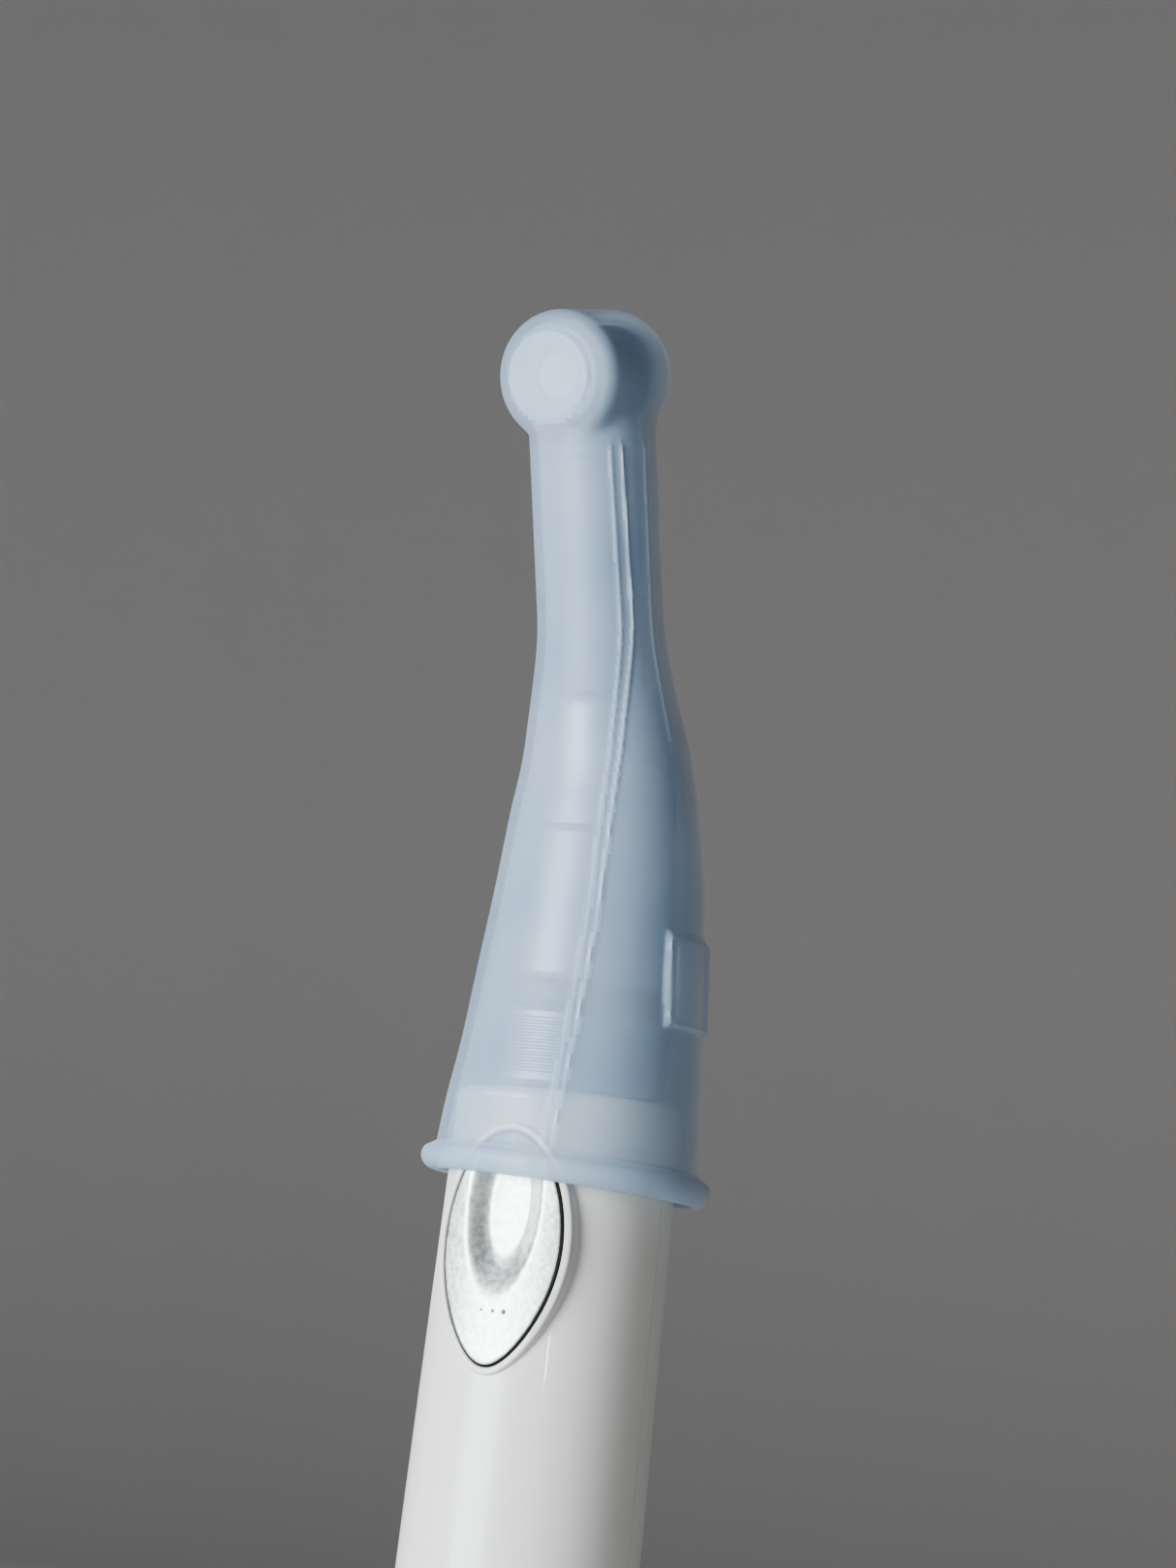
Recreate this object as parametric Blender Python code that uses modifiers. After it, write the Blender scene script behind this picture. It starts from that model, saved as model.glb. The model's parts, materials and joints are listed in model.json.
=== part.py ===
"""A cordless dental handpiece: a motor handle, a contra-angle on its nose and a silicone sleeve over it.

+Z runs up the handle to the head, the origin is the middle of the flat end cap, and the thumb key faces -Y.
Sizes below are in millimetres and degrees. Heights in the handle count from its end cap or from its shoulder,
where the contra-angle starts. The contra-angle has three frames, each an empty: angle_frame on the handle's
axis, neck_frame at the bend with +Z up the neck, and head_frame where the neck meets the bur axis, with +Z
towards the bur.
"""
import bpy
import bmesh
from math import atan2, cos, degrees, pi, radians, sin
from mathutils import Matrix, Vector

MM = 0.001
GAP = 0.3              # left between pieces that rest on each other

# Driving dimensions
HANDLE_LENGTH = 130.0  # end cap to shoulder
HANDLE_RADIUS = 11.2   # where the handle is widest
SHELL_WALL = 1.5
BEND_HEIGHT = 29.4     # shoulder to the point where handle axis and neck axis cross
BEND_DEG = 15.0        # neck against handle
NECK_LENGTH = 36.5     # bend to the middle of the head
HEAD_RADIUS = 4.6
BUR_TILT_DEG = 14.5    # bur axis above the horizontal
ANGLE_TURN_DEG = -9.0  # contra-angle against the thumb key
KEY_LENGTH = 20.4
KEY_WIDTH = 11.2
KEY_MID_SHARE = 0.53    # height of the key's widest place, as a share of its length
KEY_TAPER = 0.22        # how much narrower than an oval the key is at its tip
KEY_PROUD = 0.55       # above the handle's skin
RIM_PROUD = 0.35
SLEEVE_WALL = 0.8
SLEEVE_EDGE = 1.3      # rounding of the sleeve's head barrel
PLATE_DEG = 102.0      # raised plate on the sleeve, turned from the front to +X

# Bevel gears: teeth, and the length of the teeth as a share of the cone
BEND_TEETH = 10
BEND_CONE = 14.0
BEND_FACE = 0.21
PINION_TEETH = 10
CHUCK_TEETH = 14
HEAD_CONE = 3.74
HEAD_FACE = 0.27

# Derived scales and heights
K = HANDLE_RADIUS / 11.2           # girth of the handle and the angle's body
H = HEAD_RADIUS / 4.6              # girth of the head and the neck
SHOULDER = HANDLE_LENGTH
BEND_Z = SHOULDER + BEND_HEIGHT
REAR_GEAR_Z = BEND_Z - BEND_CONE * K
REAR_BEARING_Z = REAR_GEAR_Z - 3.4
NOSE_TOP = REAR_BEARING_Z - 1.4
FORK_BOTTOM = NOSE_TOP - 4.6
KEY_TIP_Z = SHOULDER - 24.6
KEY_MID_Z = KEY_TIP_Z + KEY_MID_SHARE * KEY_LENGTH
LENS_Z = SHOULDER - 57.0
CHIP_Z = SHOULDER - 46.0
CELL_Y = 0.8 * K
CELL_BOTTOM = 22.0
CELL_TOP = SHOULDER - 60.0
BOARD_FRONT = -7.1 * K
CAP_TOP = 8.0
SHELL_BOTTOM = CAP_TOP + 1.3

# Handle outline: share of the length, share of the widest radius
HANDLE_OUTLINE = ((0.0, 0.98), (0.08, 1.0), (0.45, 1.0), (0.7, 0.964), (0.85, 0.932), (1.0, 0.902))

FINE, PLAIN, SMALL = 32, 20, 14    # steps round large, middling and small turned pieces

parts = None
cutters = None


# Scene helpers

def clear_scene():
    for obj in list(bpy.data.objects):
        bpy.data.objects.remove(obj, do_unlink=True)


def new_collection(name):
    group = bpy.data.collections.new(name)
    bpy.context.scene.collection.children.link(group)
    return group


def make_material(name, colour, roughness, metallic=0.0, alpha=1.0):
    mat = bpy.data.materials.new(name)
    mat.use_nodes = True
    shader = mat.node_tree.nodes["Principled BSDF"]
    shader.inputs["Base Color"].default_value = (*colour, 1.0)
    shader.inputs["Roughness"].default_value = roughness
    shader.inputs["Metallic"].default_value = metallic
    shader.inputs["Alpha"].default_value = alpha
    return mat


def make_empty(name, parent=None, location=(0, 0, 0), turn_x=0.0, turn_z=0.0):
    empty = bpy.data.objects.new(name, None)
    empty.parent = parent
    empty.location = [value * MM for value in location]
    empty.rotation_euler = (radians(turn_x), 0.0, radians(turn_z))
    parts.objects.link(empty)
    return empty


def add_object(name, mesh, material, parent=None, location=(0, 0, 0)):
    """Make an object from a mesh: a part when it has a material, else a cutter."""
    obj = bpy.data.objects.new(name, mesh)
    obj.parent = parent
    obj.location = [value * MM for value in location]
    if material is None:
        cutters.objects.link(obj)
        obj.hide_render = True
        obj.display_type = 'WIRE'
    else:
        parts.objects.link(obj)
        mesh.materials.append(material)
    return obj


def mesh_from(bm, name):
    bmesh.ops.recalc_face_normals(bm, faces=bm.faces)
    mesh = bpy.data.meshes.new(name)
    bm.to_mesh(mesh)
    bm.free()
    return mesh


# Shapes

def turned(name, profile, material, parent=None, steps=PLAIN, location=(0, 0, 0)):
    """Turn (radius, height) points about Z, down the outer side. A profile off the axis is a ring."""
    bm = bmesh.new()
    points = [bm.verts.new((radius * MM, 0.0, height * MM)) for radius, height in profile]
    for start, end in zip(points, points[1:]):
        bm.edges.new((start, end))
    if profile[0][0] > 0:
        bm.edges.new((points[-1], points[0]))
    mesh = bpy.data.meshes.new(name)
    bm.to_mesh(mesh)
    bm.free()
    obj = add_object(name, mesh, material, parent, location)
    screw = obj.modifiers.new("Turn", 'SCREW')
    screw.steps = screw.render_steps = steps
    screw.use_merge_vertices = True
    screw.merge_threshold = 0.000001
    return obj


def ring(name, inner, outer, bottom, top, material, parent=None, steps=SMALL, location=(0, 0, 0)):
    profile = [(inner, top), (outer, top), (outer, bottom), (inner, bottom)]
    return turned(name, profile, material, parent, steps, location)


def rod(name, radius, bottom, top, material, parent=None, steps=SMALL, location=(0, 0, 0)):
    profile = [(0, top), (radius, top), (radius, bottom), (0, bottom)]
    return turned(name, profile, material, parent, steps, location)


def box(name, low, high, material, parent=None):
    bm = bmesh.new()
    bmesh.ops.create_cube(bm, size=1.0)
    size = Vector(high) - Vector(low)
    middle = (Vector(high) + Vector(low)) / 2
    bmesh.ops.transform(bm, verts=bm.verts, matrix=Matrix.LocRotScale(middle * MM, None, size * MM))
    return add_object(name, mesh_from(bm, name), material, parent)


def slab_y(name, outline, front, back, material, parent=None):
    """Extrude an (x, z) outline from y = front to y = back."""
    bm = bmesh.new()
    face = bm.faces.new([bm.verts.new((x * MM, front * MM, z * MM)) for x, z in outline])
    moved = bmesh.ops.extrude_face_region(bm, geom=[face])["geom"]
    corners = [item for item in moved if isinstance(item, bmesh.types.BMVert)]
    bmesh.ops.translate(bm, verts=corners, vec=(0, (back - front) * MM, 0))
    return add_object(name, mesh_from(bm, name), material, parent)


def loft(name, rings, material, parent=None, hollow=None):
    """Skin a row of equal rings of points. With hollow, a second row makes the inner wall of an open tube."""
    bm = bmesh.new()

    def skin(rows):
        rows = [[bm.verts.new(Vector(point) * MM) for point in row] for row in rows]
        count = len(rows[0])
        for low, high in zip(rows, rows[1:]):
            for i in range(count):
                j = (i + 1) % count
                bm.faces.new((low[i], low[j], high[j], high[i]))
        return rows[0], rows[-1]

    first, last = skin(rings)
    if hollow:
        first_in, last_in = skin(hollow)
        for outer, inner in ((first, first_in), (last, last_in)):
            for i in range(len(outer)):
                j = (i + 1) % len(outer)
                bm.faces.new((outer[i], outer[j], inner[j], inner[i]))
    else:
        bm.faces.new(first)
        bm.faces.new(last)
    return add_object(name, mesh_from(bm, name), material, parent)


def coil(name, radius, wire, turns, bottom, top, material, parent=None, location=(0, 0, 0)):
    """A coil spring along Z, made as a curve and left as a closed mesh."""
    curve = bpy.data.curves.new(name, 'CURVE')
    curve.dimensions = '3D'
    curve.bevel_depth = wire * MM
    curve.bevel_resolution = 2
    curve.use_fill_caps = True
    count = round(10 * turns) + 1
    spline = curve.splines.new('POLY')
    spline.points.add(count - 1)
    for i, point in enumerate(spline.points):
        share = i / (count - 1)
        angle = 2 * pi * turns * share
        height = bottom + wire + (top - bottom - 2 * wire) * share
        point.co = (radius * cos(angle) * MM, radius * sin(angle) * MM, height * MM, 1.0)
    source = bpy.data.objects.new(name + "_curve", curve)
    parts.objects.link(source)
    mesh = bpy.data.meshes.new_from_object(source.evaluated_get(bpy.context.evaluated_depsgraph_get()))
    bpy.data.objects.remove(source, do_unlink=True)
    bm = bmesh.new()
    bm.from_mesh(mesh)
    bmesh.ops.remove_doubles(bm, verts=bm.verts, dist=0.000001)
    bm.to_mesh(mesh)
    bm.free()
    return add_object(name, mesh, material, parent, location)


def combine(obj, operation, other):
    """Join, cut or intersect a part with a cutter."""
    modifier = obj.modifiers.new(other.name, 'BOOLEAN')
    modifier.operation = operation
    modifier.solver = 'EXACT'
    modifier.object = other


# Outlines

def handle_radius(z):
    """Radius of the handle's outside at height z."""
    share = min(max(z / HANDLE_LENGTH, 0.0), 1.0)
    for (low, low_r), (high, high_r) in zip(HANDLE_OUTLINE, HANDLE_OUTLINE[1:]):
        if share <= high:
            return HANDLE_RADIUS * (low_r + (high_r - low_r) * (share - low) / (high - low))
    return HANDLE_RADIUS * HANDLE_OUTLINE[-1][1]


def handle_heights(bottom, top):
    """Heights at which the handle's outline turns, with bottom and top, from the top down."""
    inner = [share * HANDLE_LENGTH for share, _ in HANDLE_OUTLINE if bottom < share * HANDLE_LENGTH < top]
    return [top] + sorted(inner, reverse=True) + [bottom]


def skin_profile(bottom, top, outside, inside):
    """A ring profile that follows the handle, from inside to outside of its surface."""
    heights = handle_heights(bottom, top)
    outer = [(handle_radius(z) + outside, z) for z in heights]
    inner = [(handle_radius(z) + inside, z) for z in reversed(heights)]
    return outer + inner


def almond(grow=0.0):
    """Outline of the thumb key: a round top and a narrow, rounded tip, grown outwards by grow."""
    half = KEY_WIDTH / 2
    top = KEY_TIP_Z + KEY_LENGTH
    points = []
    for i in range(28):
        angle = 2 * pi * i / 28
        rise = cos(angle)
        if rise >= 0:
            x = half * sin(angle)
            z = KEY_MID_Z + (top - KEY_MID_Z) * rise
        else:
            x = half * sin(angle) * (1 - KEY_TAPER * rise * rise)
            z = KEY_MID_Z + (KEY_MID_Z - KEY_TIP_Z) * rise
        points.append((x + grow * sin(angle), z + grow * cos(angle)))
    return points


def pill(width, height, middle, grow=0.0):
    """A slot outline with round ends, standing upright."""
    radius = width / 2 + grow
    straight = (height - width) / 2
    points = []
    for i in range(12):
        angle = pi * (i + 0.5) / 6
        end = straight if sin(angle) > 0 else -straight
        points.append((radius * cos(angle), middle + radius * sin(angle) + end))
    return points


def bend_ring(s, radius, count=PLAIN, shift=0.0):
    """A ring of points round the bent axis, s millimetres past the bend, in the angle's frame."""
    bend = radians(BEND_DEG)
    lean = bend / 2 if s == 0 else (bend if s > 0 else 0.0)
    axis_lean = bend if s > 0 else 0.0
    centre = Vector((0, -s * sin(axis_lean) + shift, BEND_Z + s * cos(axis_lean)))
    across = Vector((0, cos(lean), sin(lean)))
    points = []
    for i in range(count):
        angle = 2 * pi * i / count
        points.append(centre + Vector((radius * cos(angle), 0, 0)) + across * (radius * sin(angle)))
    return points


# Gears

def bevel_gear(name, teeth, cone_deg, cone_length, face, first_tooth_deg, parent):
    """A bevel gear whose cone stands on the frame's origin. Its teeth run back from the cone's base.

    The gear lies along -Z. The first tooth's middle is at first_tooth_deg from +Y.
    """
    cone = radians(cone_deg)
    module = 2 * cone_length * sin(cone) / teeth
    tip, root = 0.72 * module, 0.95 * module
    pitch = 2 * pi / teeth
    steps = ((-0.30, -root), (-0.155, 0.0), (-0.07, tip), (0.07, tip), (0.155, 0.0), (0.30, -root))

    def outline(scale):
        row = []
        for tooth in range(teeth):
            for turn, height in steps:
                angle = radians(first_tooth_deg) + pitch * (tooth + turn)
                radius = scale * (cone_length * sin(cone) + height * cos(cone))
                along = scale * (cone_length * cos(cone) - height * sin(cone))
                row.append((radius * sin(angle), radius * cos(angle), -along))
        return row

    return loft(name, [outline(1.0), outline(1.0 - face)], None, parent)


# Sub-assemblies

def build_shells(white, smoked):
    """The two handle halves, with the key opening and its raised rim in the front one."""
    wall = SHELL_WALL * K
    heights = handle_heights(SHELL_BOTTOM, SHOULDER - 0.8)
    profile = [(4.8 * K, SHOULDER), (handle_radius(SHOULDER) - 0.8, SHOULDER)]
    profile += [(handle_radius(z), z) for z in heights]
    inner = [z for z in reversed(handle_heights(SHELL_BOTTOM, SHOULDER - wall))]
    profile += [(handle_radius(z) - wall, z) for z in inner]
    profile += [(4.8 * K, SHOULDER - wall)]
    reach = HANDLE_RADIUS + 5
    halves = (("handle_front_shell", -GAP / 2, reach), ("handle_rear_shell", -reach, GAP / 2))
    for name, low_y, high_y in halves:
        shell = turned(name, profile, white, steps=FINE)
        half = box(name + "_cut", (-reach, low_y, -5), (reach, high_y, SHOULDER + 5), None)
        combine(shell, 'DIFFERENCE', half)
        if name == "handle_front_shell":
            cut_key_opening(shell)
    lens = turned("status_lens", skin_profile(LENS_Z - 5, LENS_Z + 5, 0.1, -wall + 0.1), smoked, steps=FINE)
    combine(lens, 'INTERSECT', slab_y("lens_shape", pill(1.8, 5, LENS_Z), -reach, -5, None))


def cut_key_opening(shell):
    reach = HANDLE_RADIUS + 5
    profile = skin_profile(KEY_TIP_Z - 3, KEY_TIP_Z + KEY_LENGTH + 1.5, RIM_PROUD, -0.8)
    rim = turned("rim_skin", profile, None, steps=FINE)
    combine(rim, 'INTERSECT', slab_y("rim_shape", almond(1.0), -reach, -3, None))
    combine(shell, 'UNION', rim)
    combine(shell, 'DIFFERENCE', slab_y("key_opening", almond(GAP), -reach, -3, None))
    combine(shell, 'DIFFERENCE', slab_y("lens_opening", pill(1.8, 5, LENS_Z, GAP), -reach, -3, None))


def build_key(silver, parent):
    """The almond-shaped thumb key with its dished face and the stem that presses the switch."""
    profile = skin_profile(KEY_TIP_Z - 2, KEY_TIP_Z + KEY_LENGTH + 1, KEY_PROUD, -1.1)
    key = turned("main_key", profile, silver, parent, steps=FINE)
    reach = HANDLE_RADIUS + 5
    combine(key, 'INTERSECT', slab_y("key_shape", almond(), -reach, -3, None))
    dish = rod("key_dish", KEY_WIDTH * 0.9, -6, 6, None, steps=FINE)
    middle = Vector((0, -handle_radius(KEY_MID_Z) - 11.0, KEY_MID_Z + 2))
    dish.matrix_world = Matrix.Translation(middle * MM) @ Matrix.Rotation(radians(90), 4, 'Y')
    combine(key, 'DIFFERENCE', dish)
    stem = rod("key_stem", 1.5, 0, 1.2, None)
    foot = Vector((0, BOARD_FRONT - 1.5 * K, KEY_MID_Z))
    stem.matrix_world = Matrix.Translation(foot * MM) @ Matrix.Rotation(radians(90), 4, 'X')
    combine(key, 'UNION', stem)


def build_handle_base(white, rubber, gold, steel):
    """End cap, its seal, the two charging contacts and the two screws."""
    outer = HANDLE_RADIUS
    profile = [(0, 3.0), (7.4 * K, 3.0), (7.4 * K, 14.0), (8.8 * K, 14.0), (8.8 * K, CAP_TOP),
               (outer - 0.2, CAP_TOP), (outer, CAP_TOP - 1), (outer, 1.4), (outer - 0.4, 0.4),
               (outer - 1.2, 0.0), (0, 0.0)]
    cap = turned("end_cap", profile, white, steps=FINE)
    ring("cap_seal", 9.1 * K, outer - 0.15, CAP_TOP + GAP, SHELL_BOTTOM - GAP, rubber, steps=FINE)
    for side, sign in (("left", -1), ("right", 1)):
        rod("charge_contact_" + side, 1.3, 0.5, 6.0, gold, location=(0, sign * 3.6 * K, 0))
        hole = rod("contact_hole_" + side, 1.6, -1, 20, None, location=(0, sign * 3.6 * K, 0))
        combine(cap, 'DIFFERENCE', hole)
        x = sign * 5.0 * K
        profile = [(0, 11.5), (0.8, 11.5), (0.8, 2.0), (1.6, 2.0), (1.6, 0.5), (0, 0.5)]
        screw = turned("cap_screw_" + side, profile, steel, steps=16, location=(x, 0, 0))
        for name, half_x, half_y in (("a", 1.0, 0.2), ("b", 0.2, 1.0)):
            cross = box("recess_" + side + name, (x - half_x, -half_y, 0), (x + half_x, half_y, 1.1), None)
            combine(screw, 'DIFFERENCE', cross)
        profile = [(0, 20), (1.1, 20), (1.1, 2.3), (1.9, 2.3), (1.9, -1), (0, -1)]
        combine(cap, 'DIFFERENCE', turned("screw_hole_" + side, profile, None, steps=16, location=(x, 0, 0)))


def build_power(plastic, wrap, steel, gold, green, black, pale):
    """Battery cell in its cradle, its spring and contacts, and the circuit board with its switch and lamp."""
    where = (0, CELL_Y, 0)
    profile = [(0, 17.5), (7.3 * K, 17.5), (7.3 * K, CELL_TOP + 1), (8.2 * K, CELL_TOP + 1), (8.2 * K, 16.0),
               (0, 16.0)]
    cradle = turned("cell_cradle", profile, plastic, steps=PLAIN, location=where)
    front = box("cradle_front", (-5.2 * K, -12 * K, 18.0), (5.2 * K, -3 * K, CELL_TOP + 5), None)
    combine(cradle, 'DIFFERENCE', front)
    for side, sign in (("left", -1), ("right", 1)):
        foot = rod("cradle_foot_" + side, 2.1 * K, 3.4, 17.0, None, location=(sign * 5.0 * K, 0, 0))
        combine(cradle, 'UNION', foot)
    for side, sign in (("left", -1), ("right", 1)):
        hole = rod("cradle_hole_" + side, 1.1, 2, 12.5, None, steps=16, location=(sign * 5.0 * K, 0, 0))
        combine(cradle, 'DIFFERENCE', hole)
    nub = 2.7 * K
    profile = [(0, CELL_TOP + 1.2), (nub, CELL_TOP + 1.2), (nub, CELL_TOP), (6.6 * K, CELL_TOP),
               (7.0 * K, CELL_TOP - 0.5), (7.0 * K, CELL_BOTTOM + 0.5), (6.6 * K, CELL_BOTTOM),
               (0, CELL_BOTTOM)]
    turned("battery_cell", profile, wrap, location=where)
    rod("cell_bottom_contact", 6.2 * K, 17.8, 18.2, gold, location=where)
    coil("battery_spring", 3.6 * K, 0.35, 2.5, 18.5, CELL_BOTTOM - GAP, steel, location=where)
    rod("cell_top_contact", 4.0 * K, CELL_TOP + 1.5, CELL_TOP + 1.9, gold, location=where)
    half = 4.5 * K
    back = BOARD_FRONT + 0.6
    box("circuit_board", (-half, BOARD_FRONT, CELL_BOTTOM), (half, back, SHOULDER - 7.0), green)
    front = BOARD_FRONT - 0.05 - 0.8 * K
    box("control_chip", (-2.5 * K, front, CHIP_Z - 2.5), (2.5 * K, BOARD_FRONT - 0.05, CHIP_Z + 2.5), black)
    box("status_lamp", (-0.8, front, LENS_Z - 1), (0.8, BOARD_FRONT - 0.05, LENS_Z + 1), pale)
    box("key_switch", (-2.2, front, KEY_MID_Z - 2.2), (2.2, BOARD_FRONT - 0.05, KEY_MID_Z + 2.2), black)


def build_motor(steel, copper, bearing, dark, rubber, rotor_frame):
    """Motor can, stator, bearings, end bell, the nose for the angle, and the rotor with its blade."""
    can_bottom, can_top = SHOULDER - 38, SHOULDER - 8
    profile = [(1.5, can_top), (6.0 * K, can_top), (6.0 * K, can_bottom), (5.4 * K, can_bottom),
               (5.4 * K, can_top - 0.8), (1.5, can_top - 0.8)]
    turned("motor_can", profile, steel)
    ring("motor_stator", 3.4 * K, 5.1 * K, SHOULDER - 33, SHOULDER - 13, copper, steps=PLAIN)
    ring("motor_bearing_front", 1.3, 3.2 * K, SHOULDER - 11.5, SHOULDER - 9.2, bearing)
    ring("motor_bearing_rear", 1.3, 3.2 * K, SHOULDER - 36.8, SHOULDER - 34.6, bearing)
    ring("motor_end_bell", 1.3, 5.1 * K, SHOULDER - 38.6, SHOULDER - 37.1, dark)
    low, high = SHOULDER + 2.6, SHOULDER + 3.9
    flange = SHOULDER - SHELL_WALL * K - GAP
    profile = [(3.9 * K, NOSE_TOP), (4.5 * K, NOSE_TOP - 0.6), (4.5 * K, high), (3.7 * K, high),
               (3.7 * K, low), (4.5 * K, low), (4.5 * K, flange), (8.2 * K, flange), (8.2 * K, SHOULDER - 6),
               (1.5, SHOULDER - 6), (1.5, SHOULDER - 3), (2.6 * K, SHOULDER - 3), (2.6 * K, NOSE_TOP)]
    turned("motor_nose", profile, steel)
    bead = [(4.33 * K + 0.33 * cos(angle), (low + high) / 2 + 0.33 * sin(angle))
            for angle in (pi / 2 - pi * i / 4 for i in range(8))]
    turned("nose_o_ring", bead, rubber, steps=PLAIN)
    top = FORK_BOTTOM - GAP
    profile = [(0, top), (1.0, top), (1.0, SHOULDER - 13.5), (3.0 * K, SHOULDER - 13.5),
               (3.0 * K, SHOULDER - 32.5), (1.0, SHOULDER - 32.5), (1.0, SHOULDER - 39), (0, SHOULDER - 39)]
    profile = [(radius, height - SHOULDER) for radius, height in profile]
    rotor = turned("motor_rotor", profile, steel, rotor_frame, steps=SMALL)
    top -= SHOULDER
    combine(rotor, 'UNION', box("rotor_blade", (-1.2 * K, -0.4, top - 0.6), (1.2 * K, 0.4, top + 3.0), None,
                                rotor_frame))


def build_angle_body(chrome, colour, bearing, angle_frame):
    """Collar, colour ring, body sleeve and bend housing of the contra-angle."""
    top = BEND_Z - 5.6
    profile = [(4.95 * K, SHOULDER + 7.4), (8.25 * K, SHOULDER + 7.4), (8.45 * K, SHOULDER + 6.8),
               (8.45 * K, SHOULDER + 1.2), (8.2 * K, SHOULDER + GAP), (4.95 * K, SHOULDER + GAP)]
    turned("rear_collar", profile, chrome, angle_frame)
    ring("colour_ring", 4.95 * K, 8.2 * K, SHOULDER + 7.7, SHOULDER + 9.6, colour, angle_frame, steps=PLAIN)
    seat = REAR_BEARING_Z - 0.7
    floor = REAR_GEAR_Z - 0.9
    profile = [(6.15 * K, top), (6.85 * K, top), (7.0 * K, top - 0.4), (7.7 * K, top - 8),
               (8.05 * K, SHOULDER + 10.4), (7.9 * K, SHOULDER + 9.9), (4.95 * K, SHOULDER + 9.9),
               (4.95 * K, seat), (3.3 * K, seat), (3.3 * K, floor), (6.15 * K, floor)]
    turned("body_sleeve", profile, chrome, angle_frame)
    stations = ((-5.3, 6.85, 6.1), (-2.6, 6.6, 5.5), (0.0, 6.3, 5.1), (2.6, 5.95, 4.7), (5.2, 5.6, 4.4),
                (7.4, 5.3, 4.3), (7.8, 5.0, 4.3))
    outer = [bend_ring(s, radius * K) for s, radius, _ in stations]
    inner = [bend_ring(s, radius * K) for s, _, radius in stations]
    loft("bend_housing", outer, chrome, angle_frame, hollow=inner)
    ring("rear_shaft_bearing", 1.4, 3.0 * K, REAR_BEARING_Z, REAR_BEARING_Z + 2.2, bearing, angle_frame)


def build_rear_shaft(steel, frame):
    """Short shaft on the handle axis: a fork for the motor's blade below, a bevel gear above."""
    fork_top = NOSE_TOP - 0.4
    toe = REAR_GEAR_Z + BEND_FACE * BEND_CONE * K
    profile = [(0, toe), (1.1, toe), (1.1, fork_top), (1.9 * K, fork_top), (1.9 * K, FORK_BOTTOM),
               (0, FORK_BOTTOM)]
    profile = [(radius, height - SHOULDER) for radius, height in profile]
    shaft = turned("rear_shaft", profile, steel, frame, steps=SMALL)
    low, high = FORK_BOTTOM - SHOULDER - 1, fork_top - SHOULDER - 0.9
    combine(shaft, 'DIFFERENCE', box("fork_slot", (-3 * K, -0.7, low), (3 * K, 0.7, high), None, frame))
    gear = bevel_gear("rear_gear", BEND_TEETH, BEND_DEG / 2, bend_cone_length(), BEND_FACE, 0.0, frame)
    gear.location = (0, 0, (BEND_Z - SHOULDER) * MM)
    combine(shaft, 'UNION', gear)


def bend_cone_length():
    """Length along the cone of the two equal gears in the bend."""
    return BEND_CONE * K / cos(radians(BEND_DEG / 2))


def head_cones():
    """Cone half-angles of the pinion on the neck shaft and of the chuck's gear."""
    shafts = radians(90.0 + BEND_DEG - BUR_TILT_DEG)
    pinion = atan2(sin(shafts), CHUCK_TEETH / PINION_TEETH + cos(shafts))
    return degrees(pinion), degrees(shafts - pinion)


def build_front_shaft(steel, frame):
    """Long shaft through the neck, with a bevel gear below the bend and the head pinion on top."""
    pinion_cone, _ = head_cones()
    cone = HEAD_CONE * H
    pinion_low = NECK_LENGTH - cone * cos(radians(pinion_cone))
    radius = 0.9 * min(K, H)
    heel = -BEND_CONE * K - 0.3
    shaft = rod("front_shaft", radius, heel, pinion_low + 0.3, steel, frame)
    half_tooth = 180.0 / BEND_TEETH
    low = bevel_gear("front_gear", BEND_TEETH, BEND_DEG / 2, bend_cone_length(), BEND_FACE, half_tooth, frame)
    combine(shaft, 'UNION', low)
    high = bevel_gear("head_pinion", PINION_TEETH, pinion_cone, cone, HEAD_FACE, 0.0, frame)
    high.location = (0, 0, NECK_LENGTH * MM)
    combine(shaft, 'UNION', high)


def build_neck(chrome, bearing, neck_frame):
    """The neck's tube and the two bearings of the long shaft."""
    ring("neck_tube", 3.2 * H, 4.0 * H, 8.1, NECK_LENGTH - 7.3 * H, chrome, neck_frame, steps=PLAIN)
    ring("neck_bearing_low", 1.2, 3.5 * H, 3.0, 4.6, bearing, neck_frame)
    ring("neck_bearing_top", 1.2, 2.9 * H, NECK_LENGTH - 7.0 * H, NECK_LENGTH - 5.6 * H, bearing, neck_frame)


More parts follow.
